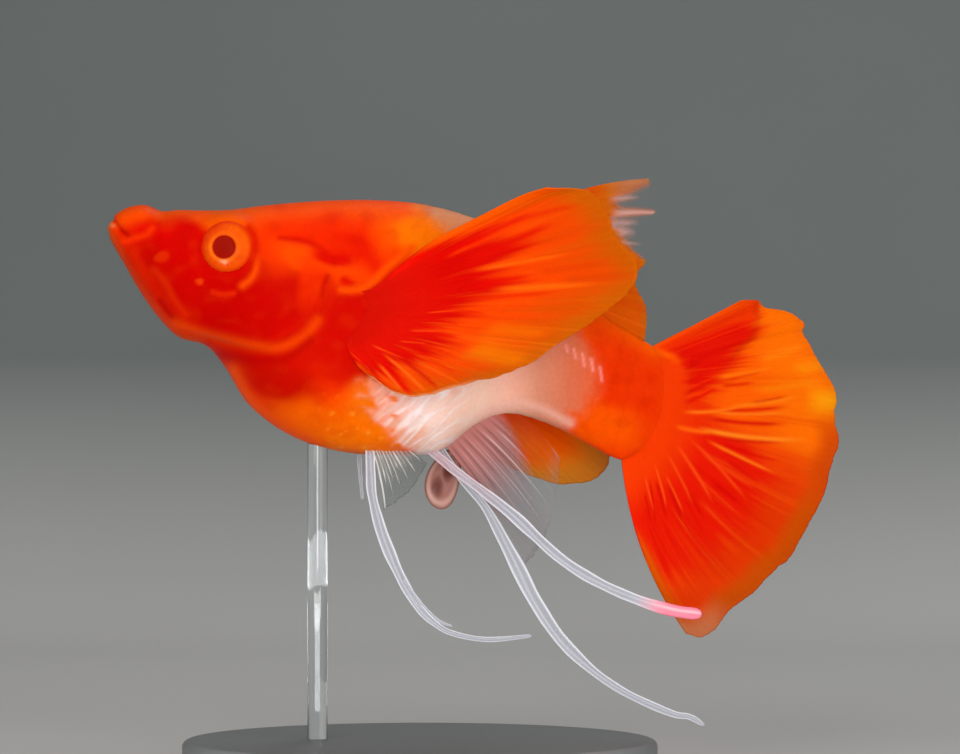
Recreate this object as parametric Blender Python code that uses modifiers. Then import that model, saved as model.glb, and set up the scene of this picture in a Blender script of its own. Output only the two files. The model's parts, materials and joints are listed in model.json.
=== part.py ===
# A fancy guppy with long ear-like pectoral fins and ribbon fins, life size, held by a plain display stand.
# The side view is drawn in millimetres with the head towards -X and the fish's left side towards -Y.
# The origin is the centre of the stand's underside, and +Z is up.

import math

import bmesh
import bpy
from mathutils import Vector

MM = 0.001

# Driving dimensions, in millimetres
GAP = 0.3  # between one node and the next
EYE_CENTRE = (-15.6, 42.5)
EYE_RADIUS = 2.3
EYE_HALF_DEPTH = 1.3
EYE_OUT = 3.5  # from the middle of the head to the middle of the eye
SOCKET_BOWL = (EYE_RADIUS + GAP, EYE_HALF_DEPTH + GAP, EYE_RADIUS + GAP)
NOSTRIL = (-19.6, 2.85, 44.0)
NOSTRIL_BOWL = (0.34, 0.6, 0.34)
LIP_RADIUS = 0.36
LIP_HALF_SPAN = 1.72  # from the middle of the mouth to its corner
UPPER_LIP = ((-23.55, 43.9), (-24.5, 44.85))  # side view of its corner and of its front
LOWER_LIP = ((-23.9, 42.8), (-24.75, 43.65))
COVER_RISE = 0.15  # how far a gill cover stands over the cheek
COVER_THICKNESS = 0.95
MEMBRANE = 0.5  # thickness of a fin between its rays
RAY_RIDGE = 0.13  # how far a ray stands out on each face
MARGIN_NOTCH = 0.022  # how far the margin draws back between two rays, as a share of the ray
STREAMER_THICKNESS = 0.5
ROOM = GAP + 0.04  # round a ribbon ray, in the fin that it lies along
PAPILLA_CENTRE = (1.75, 1.75, 23.7)
PAPILLA_RADII = (1.25, 1.0, 2.6)
BASE_SIZE = (38.0, 26.0, 3.0)
BASE_BEVEL = 0.5
ROD_RADIUS = 0.8
ROD_X = -8.2
ROD_TOP = 30.0  # inside the belly, which the rod is then cut back from
VIEW_DISTANCE = 256.0  # the side view is drawn as seen from this far, so what stands nearer looks larger
VIEW_CENTRE = (4.8, 32.0)
PECTORAL_RAYS = 14
CAUDAL_RAYS = 18
DORSAL_RAYS = 8
ANAL_RAYS = 8
PELVIC_RAYS = 5

RING_POINTS = 24
RINGS_PER_SPAN = 3

# Body stations from the mouth to the tail root: back (x, z), belly (x, z), half width, height of the widest
# place as a share of the depth, squareness of the upper half and of the lower half, and sideways bend
STATIONS = (
    ((-24.75, 44.35), (-24.9, 43.75), 0.55, 0.5, 2.0, 2.0, 0.0),  # front of the mouth
    ((-24.2, 45.05), (-24.7, 42.9), 1.5, 0.55, 2.2, 2.2, 0.0),  # lip edge
    ((-23.2, 45.6), (-24.2, 42.0), 2.05, 0.58, 2.3, 2.1, 0.0),  # upper lip
    ((-22.1, 45.75), (-23.5, 40.8), 2.4, 0.6, 2.4, 2.1, 0.0),  # lip crest
    ((-20.9, 45.3), (-22.6, 39.2), 2.6, 0.6, 2.5, 2.0, 0.0),  # groove behind the lip
    ((-19.2, 45.35), (-21.1, 37.0), 3.16, 0.6, 2.6, 2.0, 0.0),  # nostrils
    ((-17.2, 45.3), (-19.3, 35.2), 3.72, 0.6, 2.8, 1.95, 0.0),  # front of the eye
    ((-15.0, 45.35), (-17.1, 34.5), 4.19, 0.6, 2.8, 1.9, 0.0),  # eye
    ((-12.8, 45.65), (-15.6, 32.8), 4.56, 0.58, 2.6, 1.85, 0.0),  # cheek
    ((-10.4, 45.9), (-13.6, 29.7), 4.88, 0.54, 2.4, 1.9, 0.0),  # gill cover
    ((-7.4, 46.1), (-10.3, 27.3), 5.21, 0.5, 2.2, 2.0, 0.0),  # nape
    ((-4.0, 46.15), (-6.4, 26.05), 5.49, 0.46, 2.1, 2.1, 0.0),  # shoulder
    ((-0.4, 45.9), (-2.0, 25.75), 5.58, 0.43, 2.0, 2.2, 0.0),  # belly
    ((2.8, 45.2), (1.5, 26.05), 5.12, 0.43, 2.0, 2.2, 0.0),  # vent
    ((5.6, 44.1), (4.4, 28.15), 4.19, 0.45, 2.0, 2.0, 0.0),  # front of the dorsal fin
    ((9.0, 41.8), (7.1, 29.1), 3.16, 0.48, 2.0, 2.0, 0.1),  # back of the anal fin
    ((12.4, 38.6), (10.4, 28.2), 2.33, 0.5, 2.0, 2.0, 0.35),  # tail stalk
    ((15.6, 36.3), (13.5, 26.6), 1.8, 0.5, 2.0, 2.0, 0.75),
    ((18.7, 34.6), (16.1, 25.35), 1.15, 0.5, 2.0, 2.0, 1.25),  # tail root
    ((20.1, 32.9), (18.2, 26.3), 0.62, 0.5, 2.0, 2.0, 1.5),  # rounded end of the stalk, in the tail fin
)

# Rear edge of the gill cover, from the nape down and forward to the throat
GILL_EDGE = (
    (-10.4, 43.0), (-8.9, 42.6), (-7.7, 41.7), (-7.05, 40.5), (-7.15, 39.2), (-7.6, 38.0),
    (-8.5, 36.4), (-9.9, 35.1), (-11.6, 34.3), (-13.4, 34.0), (-15.4, 33.9),
)
HEAD_REGION = ((-10.6, 50.0), (-10.6, 45.0)) + GILL_EDGE + ((-17.4, 32.0), (-30.0, 32.0), (-30.0, 50.0))
COVER_REGION = GILL_EDGE[:-1] + ((-14.5, 35.6), (-14.4, 37.5), (-13.6, 39.6), (-12.6, 41.4), (-11.6, 42.5))
JAW_REGION = (
    (-27.0, 44.35), (-24.6, 44.15), (-23.5, 43.2), (-22.4, 41.7), (-21.9, 40.0), (-22.3, 38.6),
    (-23.2, 37.8), (-27.0, 37.8),
)
TAIL_REGION = ((12.0, 45.0), (9.3, 22.0), (30.0, 22.0), (30.0, 45.0))

# Side view of each fin's root line and margin, from its first ray to its last
PECTORAL_ROOT = ((-6.75, 39.3), (-6.5, 37.9), (-6.3, 36.6), (-6.0, 35.3))
PECTORAL_MARGIN_LEFT = (
    (10.2, 47.2), (13.7, 47.0), (15.2, 45.2), (15.8, 43.2), (17.4, 41.3), (17.2, 39.2), (15.6, 37.6),
    (13.4, 36.1), (11.2, 34.6), (8.6, 32.6), (5.4, 31.6), (2.6, 30.9), (0.4, 30.2), (-1.8, 30.6), (-3.8, 32.0),
)
PECTORAL_MARGIN_RIGHT = (
    (10.6, 38.4), (13.4, 35.8), (15.0, 32.6), (15.9, 29.2), (15.6, 26.2), (14.8, 24.1), (12.0, 23.3),
    (9.4, 23.8), (6.8, 24.9), (4.0, 26.2), (1.2, 27.6), (-1.4, 29.4), (-3.4, 31.4),
)
DORSAL_ROOT = ((5.3, 43.2), (8.3, 41.3), (11.4, 38.5))
DORSAL_MARGIN = (
    (18.7, 47.8), (18.5, 46.0), (18.2, 43.6), (18.3, 41.4), (18.0, 39.2), (18.1, 37.0), (17.8, 35.3),
)
ANAL_ROOT = ((1.8, 26.8), (4.3, 28.7), (6.6, 29.8))
ANAL_MARGIN = ((8.7, 16.7), (10.3, 19.4), (11.0, 22.4), (11.3, 25.3))
CAUDAL_ROOT = ((18.4, 34.0), (19.4, 32.6), (19.3, 29.6), (18.2, 27.2), (16.2, 25.9))
CAUDAL_MARGIN = (
    (26.2, 38.2), (28.2, 37.6), (30.9, 36.2), (32.2, 33.6), (33.3, 30.6), (33.6, 27.6), (32.8, 23.8),
    (31.4, 19.6), (29.4, 16.2), (26.4, 13.9), (23.8, 12.0), (21.4, 11.2),
)
PELVIC_ROOT = ((-4.2, 26.5), (-3.2, 26.5), (-2.2, 26.6))
PELVIC_MARGIN = ((-2.2, 20.6), (-0.9, 20.9), (0.1, 21.9), (0.6, 23.1), (0.7, 24.4))

# Each ribbon ray: its side-view path, depths along it, number of lengths that it is parted into, width at
# its root and tip, and the fin that it lies along
STREAMERS = {
    "streamer_pelvic_left": (
        ((-4.7, 26.6), (-4.3, 23.8), (-3.8, 21.2), (-2.9, 18.6), (-1.7, 16.1), (-0.2, 13.8), (1.8, 12.1),
         (4.4, 11.2), (6.9, 10.9), (9.0, 11.3)),
        (-1.6, -2.6, -3.6, -3.8, -3.0), 3, (0.9, 0.45), "fin_pelvic_left",
    ),
    "streamer_pelvic_right": (
        ((-5.1, 26.5), (-5.3, 24.6), (-5.2, 22.0)), (1.5, 2.0, 2.4), 1, (0.7, 0.5), "fin_pelvic_right",
    ),
    "streamer_anal_front": (
        ((0.2, 26.7), (2.6, 24.5), (4.8, 22.8), (8.0, 20.2), (11.2, 17.5), (14.4, 15.4), (17.6, 14.0),
         (20.3, 13.3), (22.6, 13.1)),
        (-0.9, -1.7, -2.2, -2.6, -2.4), 2, (0.8, 0.95), None,
    ),
    "streamer_anal_rear": (
        ((1.2, 26.9), (3.3, 23.9), (5.2, 21.6), (6.6, 19.1), (7.9, 16.6), (9.2, 14.1), (11.2, 11.1),
         (13.6, 8.7), (16.0, 7.0), (18.4, 5.8), (20.4, 5.0), (21.6, 4.8), (22.8, 4.1)),
        (0.0, -0.1, -0.4, -0.7, -0.8), 3, (0.8, 0.6), "fin_anal",
    ),
}


def clear_scene():
    for item in list(bpy.data.objects):
        bpy.data.objects.remove(item, do_unlink=True)


def collection(name):
    made = bpy.data.collections.new(name)
    bpy.context.scene.collection.children.link(made)
    return made


def material(name, colour, roughness, metallic=0.0, alpha=1.0):
    made = bpy.data.materials.new(name)
    made.use_nodes = True
    shader = made.node_tree.nodes["Principled BSDF"]
    shader.inputs["Base Color"].default_value = (*colour, 1.0)
    shader.inputs["Roughness"].default_value = roughness
    shader.inputs["Metallic"].default_value = metallic
    shader.inputs["Alpha"].default_value = alpha
    made.diffuse_color = (*colour, 1.0)
    return made


def catmull(values, t):
    """The smooth curve through a row of numbers or vectors, at t from 0 to its last index."""
    last = len(values) - 1
    i = min(int(t), last - 1)
    f = t - i
    b, c = values[i], values[i + 1]
    a = values[i - 1] if i > 0 else b * 2 - c
    d = values[i + 2] if i + 2 <= last else c * 2 - b
    return (b * 2 + (c - a) * f + (a * 2 - b * 5 + c * 4 - d) * f ** 2 + (b * 3 - a - c * 3 + d) * f ** 3) * 0.5


def even_curve(points, steps=120):
    """A function from 0..1 to places evenly spread along the smooth curve through points."""
    vectors = [Vector(p) for p in points]
    fine = [catmull(vectors, (len(vectors) - 1) * k / steps) for k in range(steps + 1)]
    lengths = [0.0]
    for a, b in zip(fine, fine[1:]):
        lengths.append(lengths[-1] + (b - a).length)

    def place(u):
        target = min(max(u, 0.0), 1.0) * lengths[-1]
        k = next((k for k in range(1, steps + 1) if lengths[k] >= target), steps)
        share = (target - lengths[k - 1]) / max(lengths[k] - lengths[k - 1], 1e-9)
        return fine[k - 1].lerp(fine[k], share)

    return place


def seen(x, z, y):
    """The place at depth y that lies over (x, z) of the side view."""
    scale = (VIEW_DISTANCE + y) / VIEW_DISTANCE
    return (VIEW_CENTRE[0] + (x - VIEW_CENTRE[0]) * scale, y, VIEW_CENTRE[1] + (z - VIEW_CENTRE[1]) * scale)


def new_object(name, mesh, group, paint=None):
    made = bpy.data.objects.new(name, mesh)
    group.objects.link(made)
    if paint:
        mesh.materials.clear()
        mesh.materials.append(paint)
    return made


def mesh_from(name, points, faces):
    """A mesh from places in millimetres."""
    mesh = bpy.data.meshes.new(name)
    mesh.from_pydata([Vector(p) * MM for p in points], [], faces)
    turned = bmesh.new()
    turned.from_mesh(mesh)
    bmesh.ops.recalc_face_normals(turned, faces=turned.faces)
    turned.to_mesh(mesh)
    turned.free()
    return mesh


def power(value, squareness):
    return math.copysign(abs(value) ** (2.0 / squareness), value)


def body_ring(t, grow):
    """One cross-section of the body at station t, grown outwards by grow."""
    columns = list(zip(*STATIONS))
    back, belly = ((Vector(catmull([Vector(p) for p in column], t))) for column in columns[:2])
    width, level, top_square, low_square, bend = (catmull(column, t) for column in columns[2:])
    up = (back - belly).normalized()
    depth = (back - belly).length
    middle = belly + up * depth * level
    half_width = max(width + grow, 0.05)
    high = max(depth * (1 - level) + grow, 0.05)
    low = max(depth * level + grow, 0.05)
    ring = []
    for k in range(RING_POINTS):
        angle = 2 * math.pi * k / RING_POINTS
        side, rise = math.sin(angle), math.cos(angle)
        square = top_square if rise > 0 else low_square
        reach = power(rise, square) * (high if rise > 0 else low)
        place = middle + up * reach
        ring.append((place.x, bend + power(side, square) * half_width, place.y))
    return ring


def ring_middle(ring):
    return sum((Vector(p) for p in ring), Vector()) / RING_POINTS


def body_mesh(name, grow=0.0):
    """The whole body as one closed loft through its stations."""
    spans = len(STATIONS) - 1
    rings = [body_ring(k / RINGS_PER_SPAN, grow) for k in range(spans * RINGS_PER_SPAN + 1)]
    if grow:
        for ring, inner in ((rings[0], rings[1]), (rings[-1], rings[-2])):
            step = ring_middle(ring) - ring_middle(inner)
            ring[:] = [tuple(Vector(p) + step.normalized() * grow) for p in ring]
    points = [p for ring in rings for p in ring]
    faces = []
    for r in range(len(rings) - 1):
        for k in range(RING_POINTS):
            a, b = r * RING_POINTS + k, r * RING_POINTS + (k + 1) % RING_POINTS
            faces.append((a, b, b + RING_POINTS, a + RING_POINTS))
    for ring, start in ((rings[0], 0), (rings[-1], (len(rings) - 1) * RING_POINTS)):
        points.append(tuple(ring_middle(ring)))
        centre = len(points) - 1
        faces += [(start + k, start + (k + 1) % RING_POINTS, centre) for k in range(RING_POINTS)]
    return mesh_from(name, points, faces)


def grown_outline(outline, distance):
    """A closed side-view outline moved outwards by distance."""
    points = [Vector(p) for p in outline]
    turn = sum(a.x * b.y - b.x * a.y for a, b in zip(points, points[1:] + points[:1]))
    way = 1 if turn > 0 else -1
    moved = []
    for before, here, after in zip(points[-1:] + points[:-1], points, points[1:] + points[:1]):
        n1 = Vector(((here - before).y, -(here - before).x)).normalized() * way
        n2 = Vector(((after - here).y, -(after - here).x)).normalized() * way
        mean = (n1 + n2).normalized()
        moved.append(here + mean * distance / max(mean.dot(n1), 0.4))
    return moved


def slab(name, outline, group, low=-12.0, high=12.0):
    """A side-view outline as a solid from y low to y high."""
    count = len(outline)
    points = [(x, low, z) for x, z in outline] + [(x, high, z) for x, z in outline]
    faces = [tuple(range(count)), tuple(range(count, 2 * count))]
    faces += [(k, (k + 1) % count, (k + 1) % count + count, k + count) for k in range(count)]
    return new_object(name, mesh_from(name, points, faces), group)


def ball(name, centre, radii, group, segments=20, rings=12):
    """An ellipsoid, as a sphere primitive stretched to its three half axes."""
    made = bmesh.new()
    bmesh.ops.create_uvsphere(made, u_segments=segments, v_segments=rings, radius=1.0)
    for vertex in made.verts:
        vertex.co = Vector(c + v * r for c, v, r in zip(centre, vertex.co, radii)) * MM
    mesh = bpy.data.meshes.new(name)
    made.to_mesh(mesh)
    made.free()
    return new_object(name, mesh, group)


def strip(name, path, sizes, group, sides=6, rows=12, thin=Vector((0.0, 1.0, 0.0))):
    """A closed ribbon along path. sizes gives its half width and half thickness at u, and thin its thin way."""
    points, faces = [], []
    for r in range(rows + 1):
        u = r / rows
        here = path(u)
        ahead = (path(min(u + 0.02, 1.0)) - path(max(u - 0.02, 0.0))).normalized()
        across = ahead.cross(thin).normalized()
        through = across.cross(ahead).normalized()
        half_width, half_thickness = sizes(u)
        for k in range(sides):
            angle = 2 * math.pi * (k + 0.5) / sides
            out = across * half_width * math.cos(angle) + through * half_thickness * math.sin(angle)
            points.append(here + out)
    for r in range(rows):
        for k in range(sides):
            a, b = r * sides + k, r * sides + (k + 1) % sides
            faces += [(a, b, b + sides), (a, b + sides, a + sides)]
    faces += [tuple(range(sides)), tuple(range(rows * sides, (rows + 1) * sides))]
    return new_object(name, mesh_from(name, points, faces), group)


def copy_of(item, name, group):
    made = item.copy()
    made.data = item.data.copy()
    made.name = name
    group.objects.link(made)
    return made


def cut(item, cutters, how="DIFFERENCE", solver="EXACT"):
    """Applies Booleans with each cutter in turn, and keeps the largest closed piece."""
    for cutter in cutters:
        change = item.modifiers.new("cut", "BOOLEAN")
        change.operation = how
        change.solver = solver
        change.object = cutter
        bpy.context.view_layer.update()
        shaped = bpy.data.meshes.new_from_object(item.evaluated_get(bpy.context.evaluated_depsgraph_get()))
        item.modifiers.clear()
        item.data = shaped
    keep_largest(item)
    return item


def keep_largest(item):
    shape = bmesh.new()
    shape.from_mesh(item.data)
    bmesh.ops.remove_doubles(shape, verts=shape.verts, dist=1e-6)
    left, islands = set(shape.faces), []
    while left:
        seed = left.pop()
        island, edge_of = {seed}, [seed]
        while edge_of:
            for edge in edge_of.pop().edges:
                for face in edge.link_faces:
                    if face in left:
                        left.discard(face)
                        island.add(face)
                        edge_of.append(face)
        islands.append(island)

    def volume(island):
        return abs(sum(
            face.verts[0].co.dot(face.verts[k].co.cross(face.verts[k + 1].co))
            for face in island for k in range(1, len(face.verts) - 1)
        ))

    largest = max(islands, key=volume)
    bmesh.ops.delete(shape, geom=[f for f in shape.faces if f not in largest], context="FACES")
    bmesh.ops.dissolve_degenerate(shape, dist=1e-6, edges=shape.edges)
    shape.to_mesh(item.data)
    shape.free()


def smooth(item, degrees=35.0):
    item.data.shade_smooth()
    item.data.set_sharp_from_angle(angle=math.radians(degrees))


def fin(name, root, margin, rays, rows, group, bow=(0.0, 0.0), ripple=0.0, waves=1.5, root_thickness=0.8):
    """A ray fin: a thin closed sheet between its root line and its margin, each ray a ridge on both faces.
    bow bends the first and the last ray sideways in the fin's own plane."""
    root_at, margin_at = even_curve(root), even_curve(margin)
    columns = 3 * (rays - 1) + 1

    def place(u, v):
        start, end = root_at(u), margin_at(u)
        along = end - start
        sideways = Vector((-along.z, 0.0, along.x)).normalized()
        bend = (bow[0] * (1 - u) + bow[1] * u) * 4 * v * (1 - v)
        wave = ripple * v ** 1.5 * math.sin(2 * math.pi * waves * u)
        return start + along * v + sideways * bend + Vector((0.0, wave, 0.0))

    points = {1: [], -1: []}
    for c in range(columns):
        u = c / (columns - 1)
        on_ray = c % 3 == 0
        for r in range(rows + 1):
            v = r / rows
            reach = v * (1.0 - (0.0 if on_ray else MARGIN_NOTCH) * v ** 4)
            here = place(u, reach)
            du = place(min(u + 0.01, 1.0), reach) - place(max(u - 0.01, 0.0), reach)
            dv = place(u, min(reach + 0.01, 1.0)) - place(u, max(reach - 0.01, 0.0))
            normal = dv.cross(du).normalized()
            half = (root_thickness * (1 - v) ** 3 + MEMBRANE * (1 - (1 - v) ** 3)) / 2
            half *= 1.0 - 0.35 * v ** 6
            half += RAY_RIDGE * (1 - 0.6 * v) if on_ray else 0.0
            for side in (1, -1):
                points[side].append(here + normal * half * side)
    size = len(points[1])
    step = rows + 1
    faces = []
    for c in range(columns - 1):
        for r in range(rows):
            a, b = c * step + r, (c + 1) * step + r
            faces += [(a, b, b + 1), (a, b + 1, a + 1)]
            faces += [(a + size, b + 1 + size, b + size), (a + size, a + 1 + size, b + 1 + size)]
    rim = [c * step for c in range(columns)]
    rim += [(columns - 1) * step + r for r in range(1, rows + 1)]
    rim += [c * step + rows for c in range(columns - 2, -1, -1)]
    rim += [r for r in range(rows - 1, 0, -1)]
    for a, b in zip(rim, rim[1:] + rim[:1]):
        faces += [(a, b, b + size), (a, b + size, a + size)]
    return new_object(name, mesh_from(name, points[1] + points[-1], faces), group)


def with_depth(points, depths):
    """Side-view points lifted to evenly blended depths."""
    last = len(points) - 1
    return [seen(x, z, catmull([float(d) for d in depths], (len(depths) - 1) * k / last))
            for k, (x, z) in enumerate(points)]


def lip(name, corner, front, group):
    """A fleshy roll from one corner of the mouth round its front to the other."""
    between = (corner[0] * 0.35 + front[0] * 0.65, corner[1] * 0.35 + front[1] * 0.65)
    stops = ((-1.0, corner), (-0.7, between), (0.0, front), (0.7, between), (1.0, corner))
    route = even_curve([(x, share * LIP_HALF_SPAN, z) for share, (x, z) in stops])

    def size(u):
        radius = LIP_RADIUS * (0.6 + 0.4 * math.sin(math.pi * u))
        return (radius, radius)

    return strip(name, route, size, group, sides=8, rows=12, thin=Vector((0.3, 0.1, 1.0)))


def make_flesh(tools):
    """The body in one piece with its lips, nostrils and eye sockets, before it is parted."""
    flesh = new_object("flesh", body_mesh("flesh"), tools)
    cut(flesh, [lip("upper lip", *UPPER_LIP, tools), lip("lower lip", *LOWER_LIP, tools)], "UNION")
    hollows = []
    for side in (-1, 1):
        hollows.append(ball("socket", (EYE_CENTRE[0], side * EYE_OUT, EYE_CENTRE[1]), SOCKET_BOWL, tools))
        hollows.append(ball("nostril", (NOSTRIL[0], side * NOSTRIL[1], NOSTRIL[2]), NOSTRIL_BOWL, tools, 10, 6))
    return cut(flesh, hollows)


def part_flesh(flesh, tools, group, skins):
    """Head, lower jaw, gill covers, trunk and tail stalk, with the gap between each."""
    head_slab = slab("head slab", HEAD_REGION, tools)
    head_clear = slab("head clear", grown_outline(HEAD_REGION, GAP), tools)
    jaw_slab = slab("jaw slab", JAW_REGION, tools)
    jaw_clear = slab("jaw clear", grown_outline(JAW_REGION, GAP), tools)
    tail_slab = slab("tail slab", TAIL_REGION, tools)
    tail_clear = slab("tail clear", grown_outline(TAIL_REGION, GAP), tools)
    core = new_object("core", body_mesh("core", COVER_RISE - COVER_THICKNESS - GAP), tools)
    recesses = [
        cut(slab("recess", grown_outline(COVER_REGION, GAP), tools, *sides(side)), [core]) for side in (-1, 1)
    ]

    jaw = cut(copy_of(flesh, "jaw_lower", group), [jaw_slab], "INTERSECT")
    head = cut(copy_of(flesh, "head", group), [head_slab], "INTERSECT")
    cut(head, [jaw_clear] + recesses, solver="MANIFOLD")  # EXACT loses the head here
    trunk = cut(copy_of(flesh, "trunk", group), [head_clear, tail_clear])
    tail = cut(copy_of(flesh, "tail_stalk", group), [tail_slab], "INTERSECT")
    made = [jaw, head, trunk, tail]
    bed = new_object("bed", body_mesh("bed", COVER_RISE - COVER_THICKNESS), tools)
    for side, word in ((-1, "left"), (1, "right")):
        cover = new_object("gill_cover_" + word, body_mesh("cover", COVER_RISE), group)
        region = slab("cover slab", COVER_REGION, tools, *sides(side))
        cut(cover, [region], "INTERSECT")
        made.append(cut(cover, [bed]))
    for item in made:
        item.data.materials.clear()
        item.data.materials.append(skins.get(item.name, skins["head"]))
        smooth(item)


def sides(side):
    """Depths of a slab that reaches from near the middle out past one flank."""
    return sorted((side * 0.5, side * 12.0))


def make_eyes(group, paint):
    for side, word in ((-1, "left"), (1, "right")):
        eye = ball(
            "eye_" + word, (EYE_CENTRE[0], side * EYE_OUT, EYE_CENTRE[1]),
            (EYE_RADIUS, EYE_HALF_DEPTH, EYE_RADIUS), group,
        )
        eye.data.materials.append(paint)
        smooth(eye)


def make_fins(group, paints):
    """Every fin, rooted in the body and still to be cut back from it."""
    left = fin(
        "fin_pectoral_left",
        with_depth(PECTORAL_ROOT, (-4.4, -4.7, -4.7)),
        with_depth(PECTORAL_MARGIN_LEFT, (-11.2, -12.6, -12.4, -10.6, -9.4, -7.4)),
        PECTORAL_RAYS, 9, group, bow=(1.5, -0.5), ripple=0.35, waves=2.5, root_thickness=1.5,
    )
    right = fin(
        "fin_pectoral_right",
        with_depth(PECTORAL_ROOT, (4.4, 4.7, 4.7)),
        with_depth(PECTORAL_MARGIN_RIGHT, (12.6, 12.2, 10.6, 8.6, 7.2)),
        PECTORAL_RAYS, 9, group, bow=(1.2, -0.4), ripple=-0.35, waves=2.5, root_thickness=1.5,
    )
    dorsal = fin(
        "fin_dorsal",
        with_depth(DORSAL_ROOT, (0.0, 0.1, 0.2)), with_depth(DORSAL_MARGIN, (1.6, 1.8, 1.2)),
        DORSAL_RAYS, 7, group, bow=(0.9, -0.5), ripple=0.3, waves=1.0,
    )
    anal = fin(
        "fin_anal",
        with_depth(ANAL_ROOT, (0.0, 0.0)), with_depth(ANAL_MARGIN, (-0.2, 0.3, 0.5)),
        ANAL_RAYS, 8, group, bow=(0.25, 0.5), ripple=0.25, waves=1.2,
    )
    caudal = fin(
        "fin_caudal",
        with_depth(CAUDAL_ROOT, (1.2, 1.45, 1.2)), with_depth(CAUDAL_MARGIN, (2.6, 4.4, 5.0, 4.4, 2.6)),
        CAUDAL_RAYS, 8, group, bow=(0.5, -1.1), ripple=0.55, waves=3.0,
    )
    made = [(left, "fin"), (right, "fin"), (dorsal, "fin"), (anal, "clear"), (caudal, "fin")]
    for side, word in ((-1, "left"), (1, "right")):
        pelvic = fin(
            "fin_pelvic_" + word,
            with_depth(PELVIC_ROOT, (side * 1.5, side * 1.5)),
            with_depth(PELVIC_MARGIN, (side * 2.2, side * 2.7, side * 2.9)),
            PELVIC_RAYS, 5, group, bow=(0.2, 0.1), root_thickness=0.7,
        )
        made.append((pelvic, "clear"))
    for item, paint in made:
        item.data.materials.append(paints[paint])
    return {item.name: item for item, _ in made}


def stretch(function, low, high):
    """The part of a function of 0..1 between low and high, as a function of 0..1."""
    return lambda u: function(low + (high - low) * u)


def make_streamers(group, tools, body_clear, fins, paint):
    """The ribbon rays. Each long one is parted into lengths, and the fin beside it is cut clear of it."""
    for name, (points, depths, lengths, widths, beside) in STREAMERS.items():
        path = even_curve(with_depth(points, depths), 240)
        total = sum((path((k + 1) / 60) - path(k / 60)).length for k in range(60))
        half_gap = GAP / total / 2

        def sizes(u):
            taper = 1.0 - 0.45 * max(0.0, (u - 0.9) / 0.1)
            return ((widths[0] * (1 - u) + widths[1] * u) / 2 * taper, STREAMER_THICKNESS / 2 * taper)

        for k in range(lengths):
            low = 0.0 if k == 0 else k / lengths + half_gap
            high = 1.0 if k == lengths - 1 else (k + 1) / lengths - half_gap
            full = name if lengths == 1 else f"{name}_{k + 1}"
            rows = 6 if lengths == 1 else 9
            item = strip(full, stretch(path, low, high), stretch(sizes, low, high), group, rows=rows)
            if k == 0:
                cut(item, [body_clear])
            item.data.materials.append(paint)
            smooth(item, 50.0)
        if beside:
            room = strip("room", path, lambda u: [size + ROOM for size in sizes(u)], tools, sides=8, rows=30)
            cut(fins[beside], [room])


def make_papilla(group, body_clear, paint):
    """The small fleshy lobe under the vent."""
    lobe = ball("vent_papilla", PAPILLA_CENTRE, PAPILLA_RADII, group, 16, 12)
    cut(lobe, [body_clear])
    lobe.data.materials.append(paint)
    smooth(lobe)


def make_stand(group, body_clear, base_paint, rod_paint):
    """An oval base, and one rod up to the gap under the belly."""
    width, depth, height = BASE_SIZE
    made = bmesh.new()
    bmesh.ops.create_cone(made, cap_ends=True, segments=48, radius1=0.5, radius2=0.5, depth=1.0)
    for vertex in made.verts:
        vertex.co = Vector((vertex.co.x * width, vertex.co.y * depth, (vertex.co.z + 0.5) * height)) * MM
    mesh = bpy.data.meshes.new("stand_base")
    made.to_mesh(mesh)
    made.free()
    base = new_object("stand_base", mesh, group, base_paint)
    edge = base.modifiers.new("edge", "BEVEL")
    edge.width = BASE_BEVEL * MM
    edge.segments = 2
    edge.limit_method = "ANGLE"
    edge.angle_limit = math.radians(60)
    smooth(base)

    made = bmesh.new()
    bmesh.ops.create_cone(made, cap_ends=True, segments=16, radius1=1.0, radius2=1.0, depth=1.0)
    foot = height + GAP
    for vertex in made.verts:
        share = vertex.co.z + 0.5
        vertex.co = Vector((
            ROD_X + vertex.co.x * ROD_RADIUS, vertex.co.y * ROD_RADIUS, foot + share * (ROD_TOP - foot),
        )) * MM
    mesh = bpy.data.meshes.new("stand_rod")
    made.to_mesh(mesh)
    made.free()
    rod = new_object("stand_rod", mesh, group, rod_paint)
    cut(rod, [body_clear])
    rod.data.materials.clear()
    rod.data.materials.append(rod_paint)
    smooth(rod)


def hide_tools(tools):
    for item in tools.objects:
        item.hide_render = True
        item.hide_viewport = True
        item.display_type = "WIRE"


def main():
    clear_scene()
    group = collection("guppy")
    tools = collection("cutters")
    red = material("red skin", (0.78, 0.05, 0.01), 0.35)
    orange = material("orange skin", (0.86, 0.18, 0.01), 0.35)
    fin_orange = material("orange fin", (0.86, 0.16, 0.01), 0.45)
    fin_clear = material("clear fin", (0.62, 0.5, 0.5), 0.4)
    white = material("white ray", (0.72, 0.7, 0.78), 0.4)
    pink = material("pink flesh", (0.6, 0.3, 0.26), 0.4)
    eye_orange = material("eye", (0.9, 0.25, 0.02), 0.1)
    black = material("satin black base", (0.03, 0.03, 0.035), 0.4)
    clear = material("clear acrylic rod", (0.85, 0.88, 0.9), 0.1)

    part_flesh(make_flesh(tools), tools, group, {"head": red, "trunk": orange, "tail_stalk": orange})
    make_eyes(group, eye_orange)

    body_clear = new_object("body clear", body_mesh("body clear", GAP), tools)
    fins = make_fins(group, {"fin": fin_orange, "clear": fin_clear})
    make_streamers(group, tools, body_clear, fins, white)
    for item in fins.values():
        cut(item, [body_clear])
        smooth(item, 40.0)
    make_papilla(group, body_clear, pink)
    make_stand(group, body_clear, black, clear)
    hide_tools(tools)


main()
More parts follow.
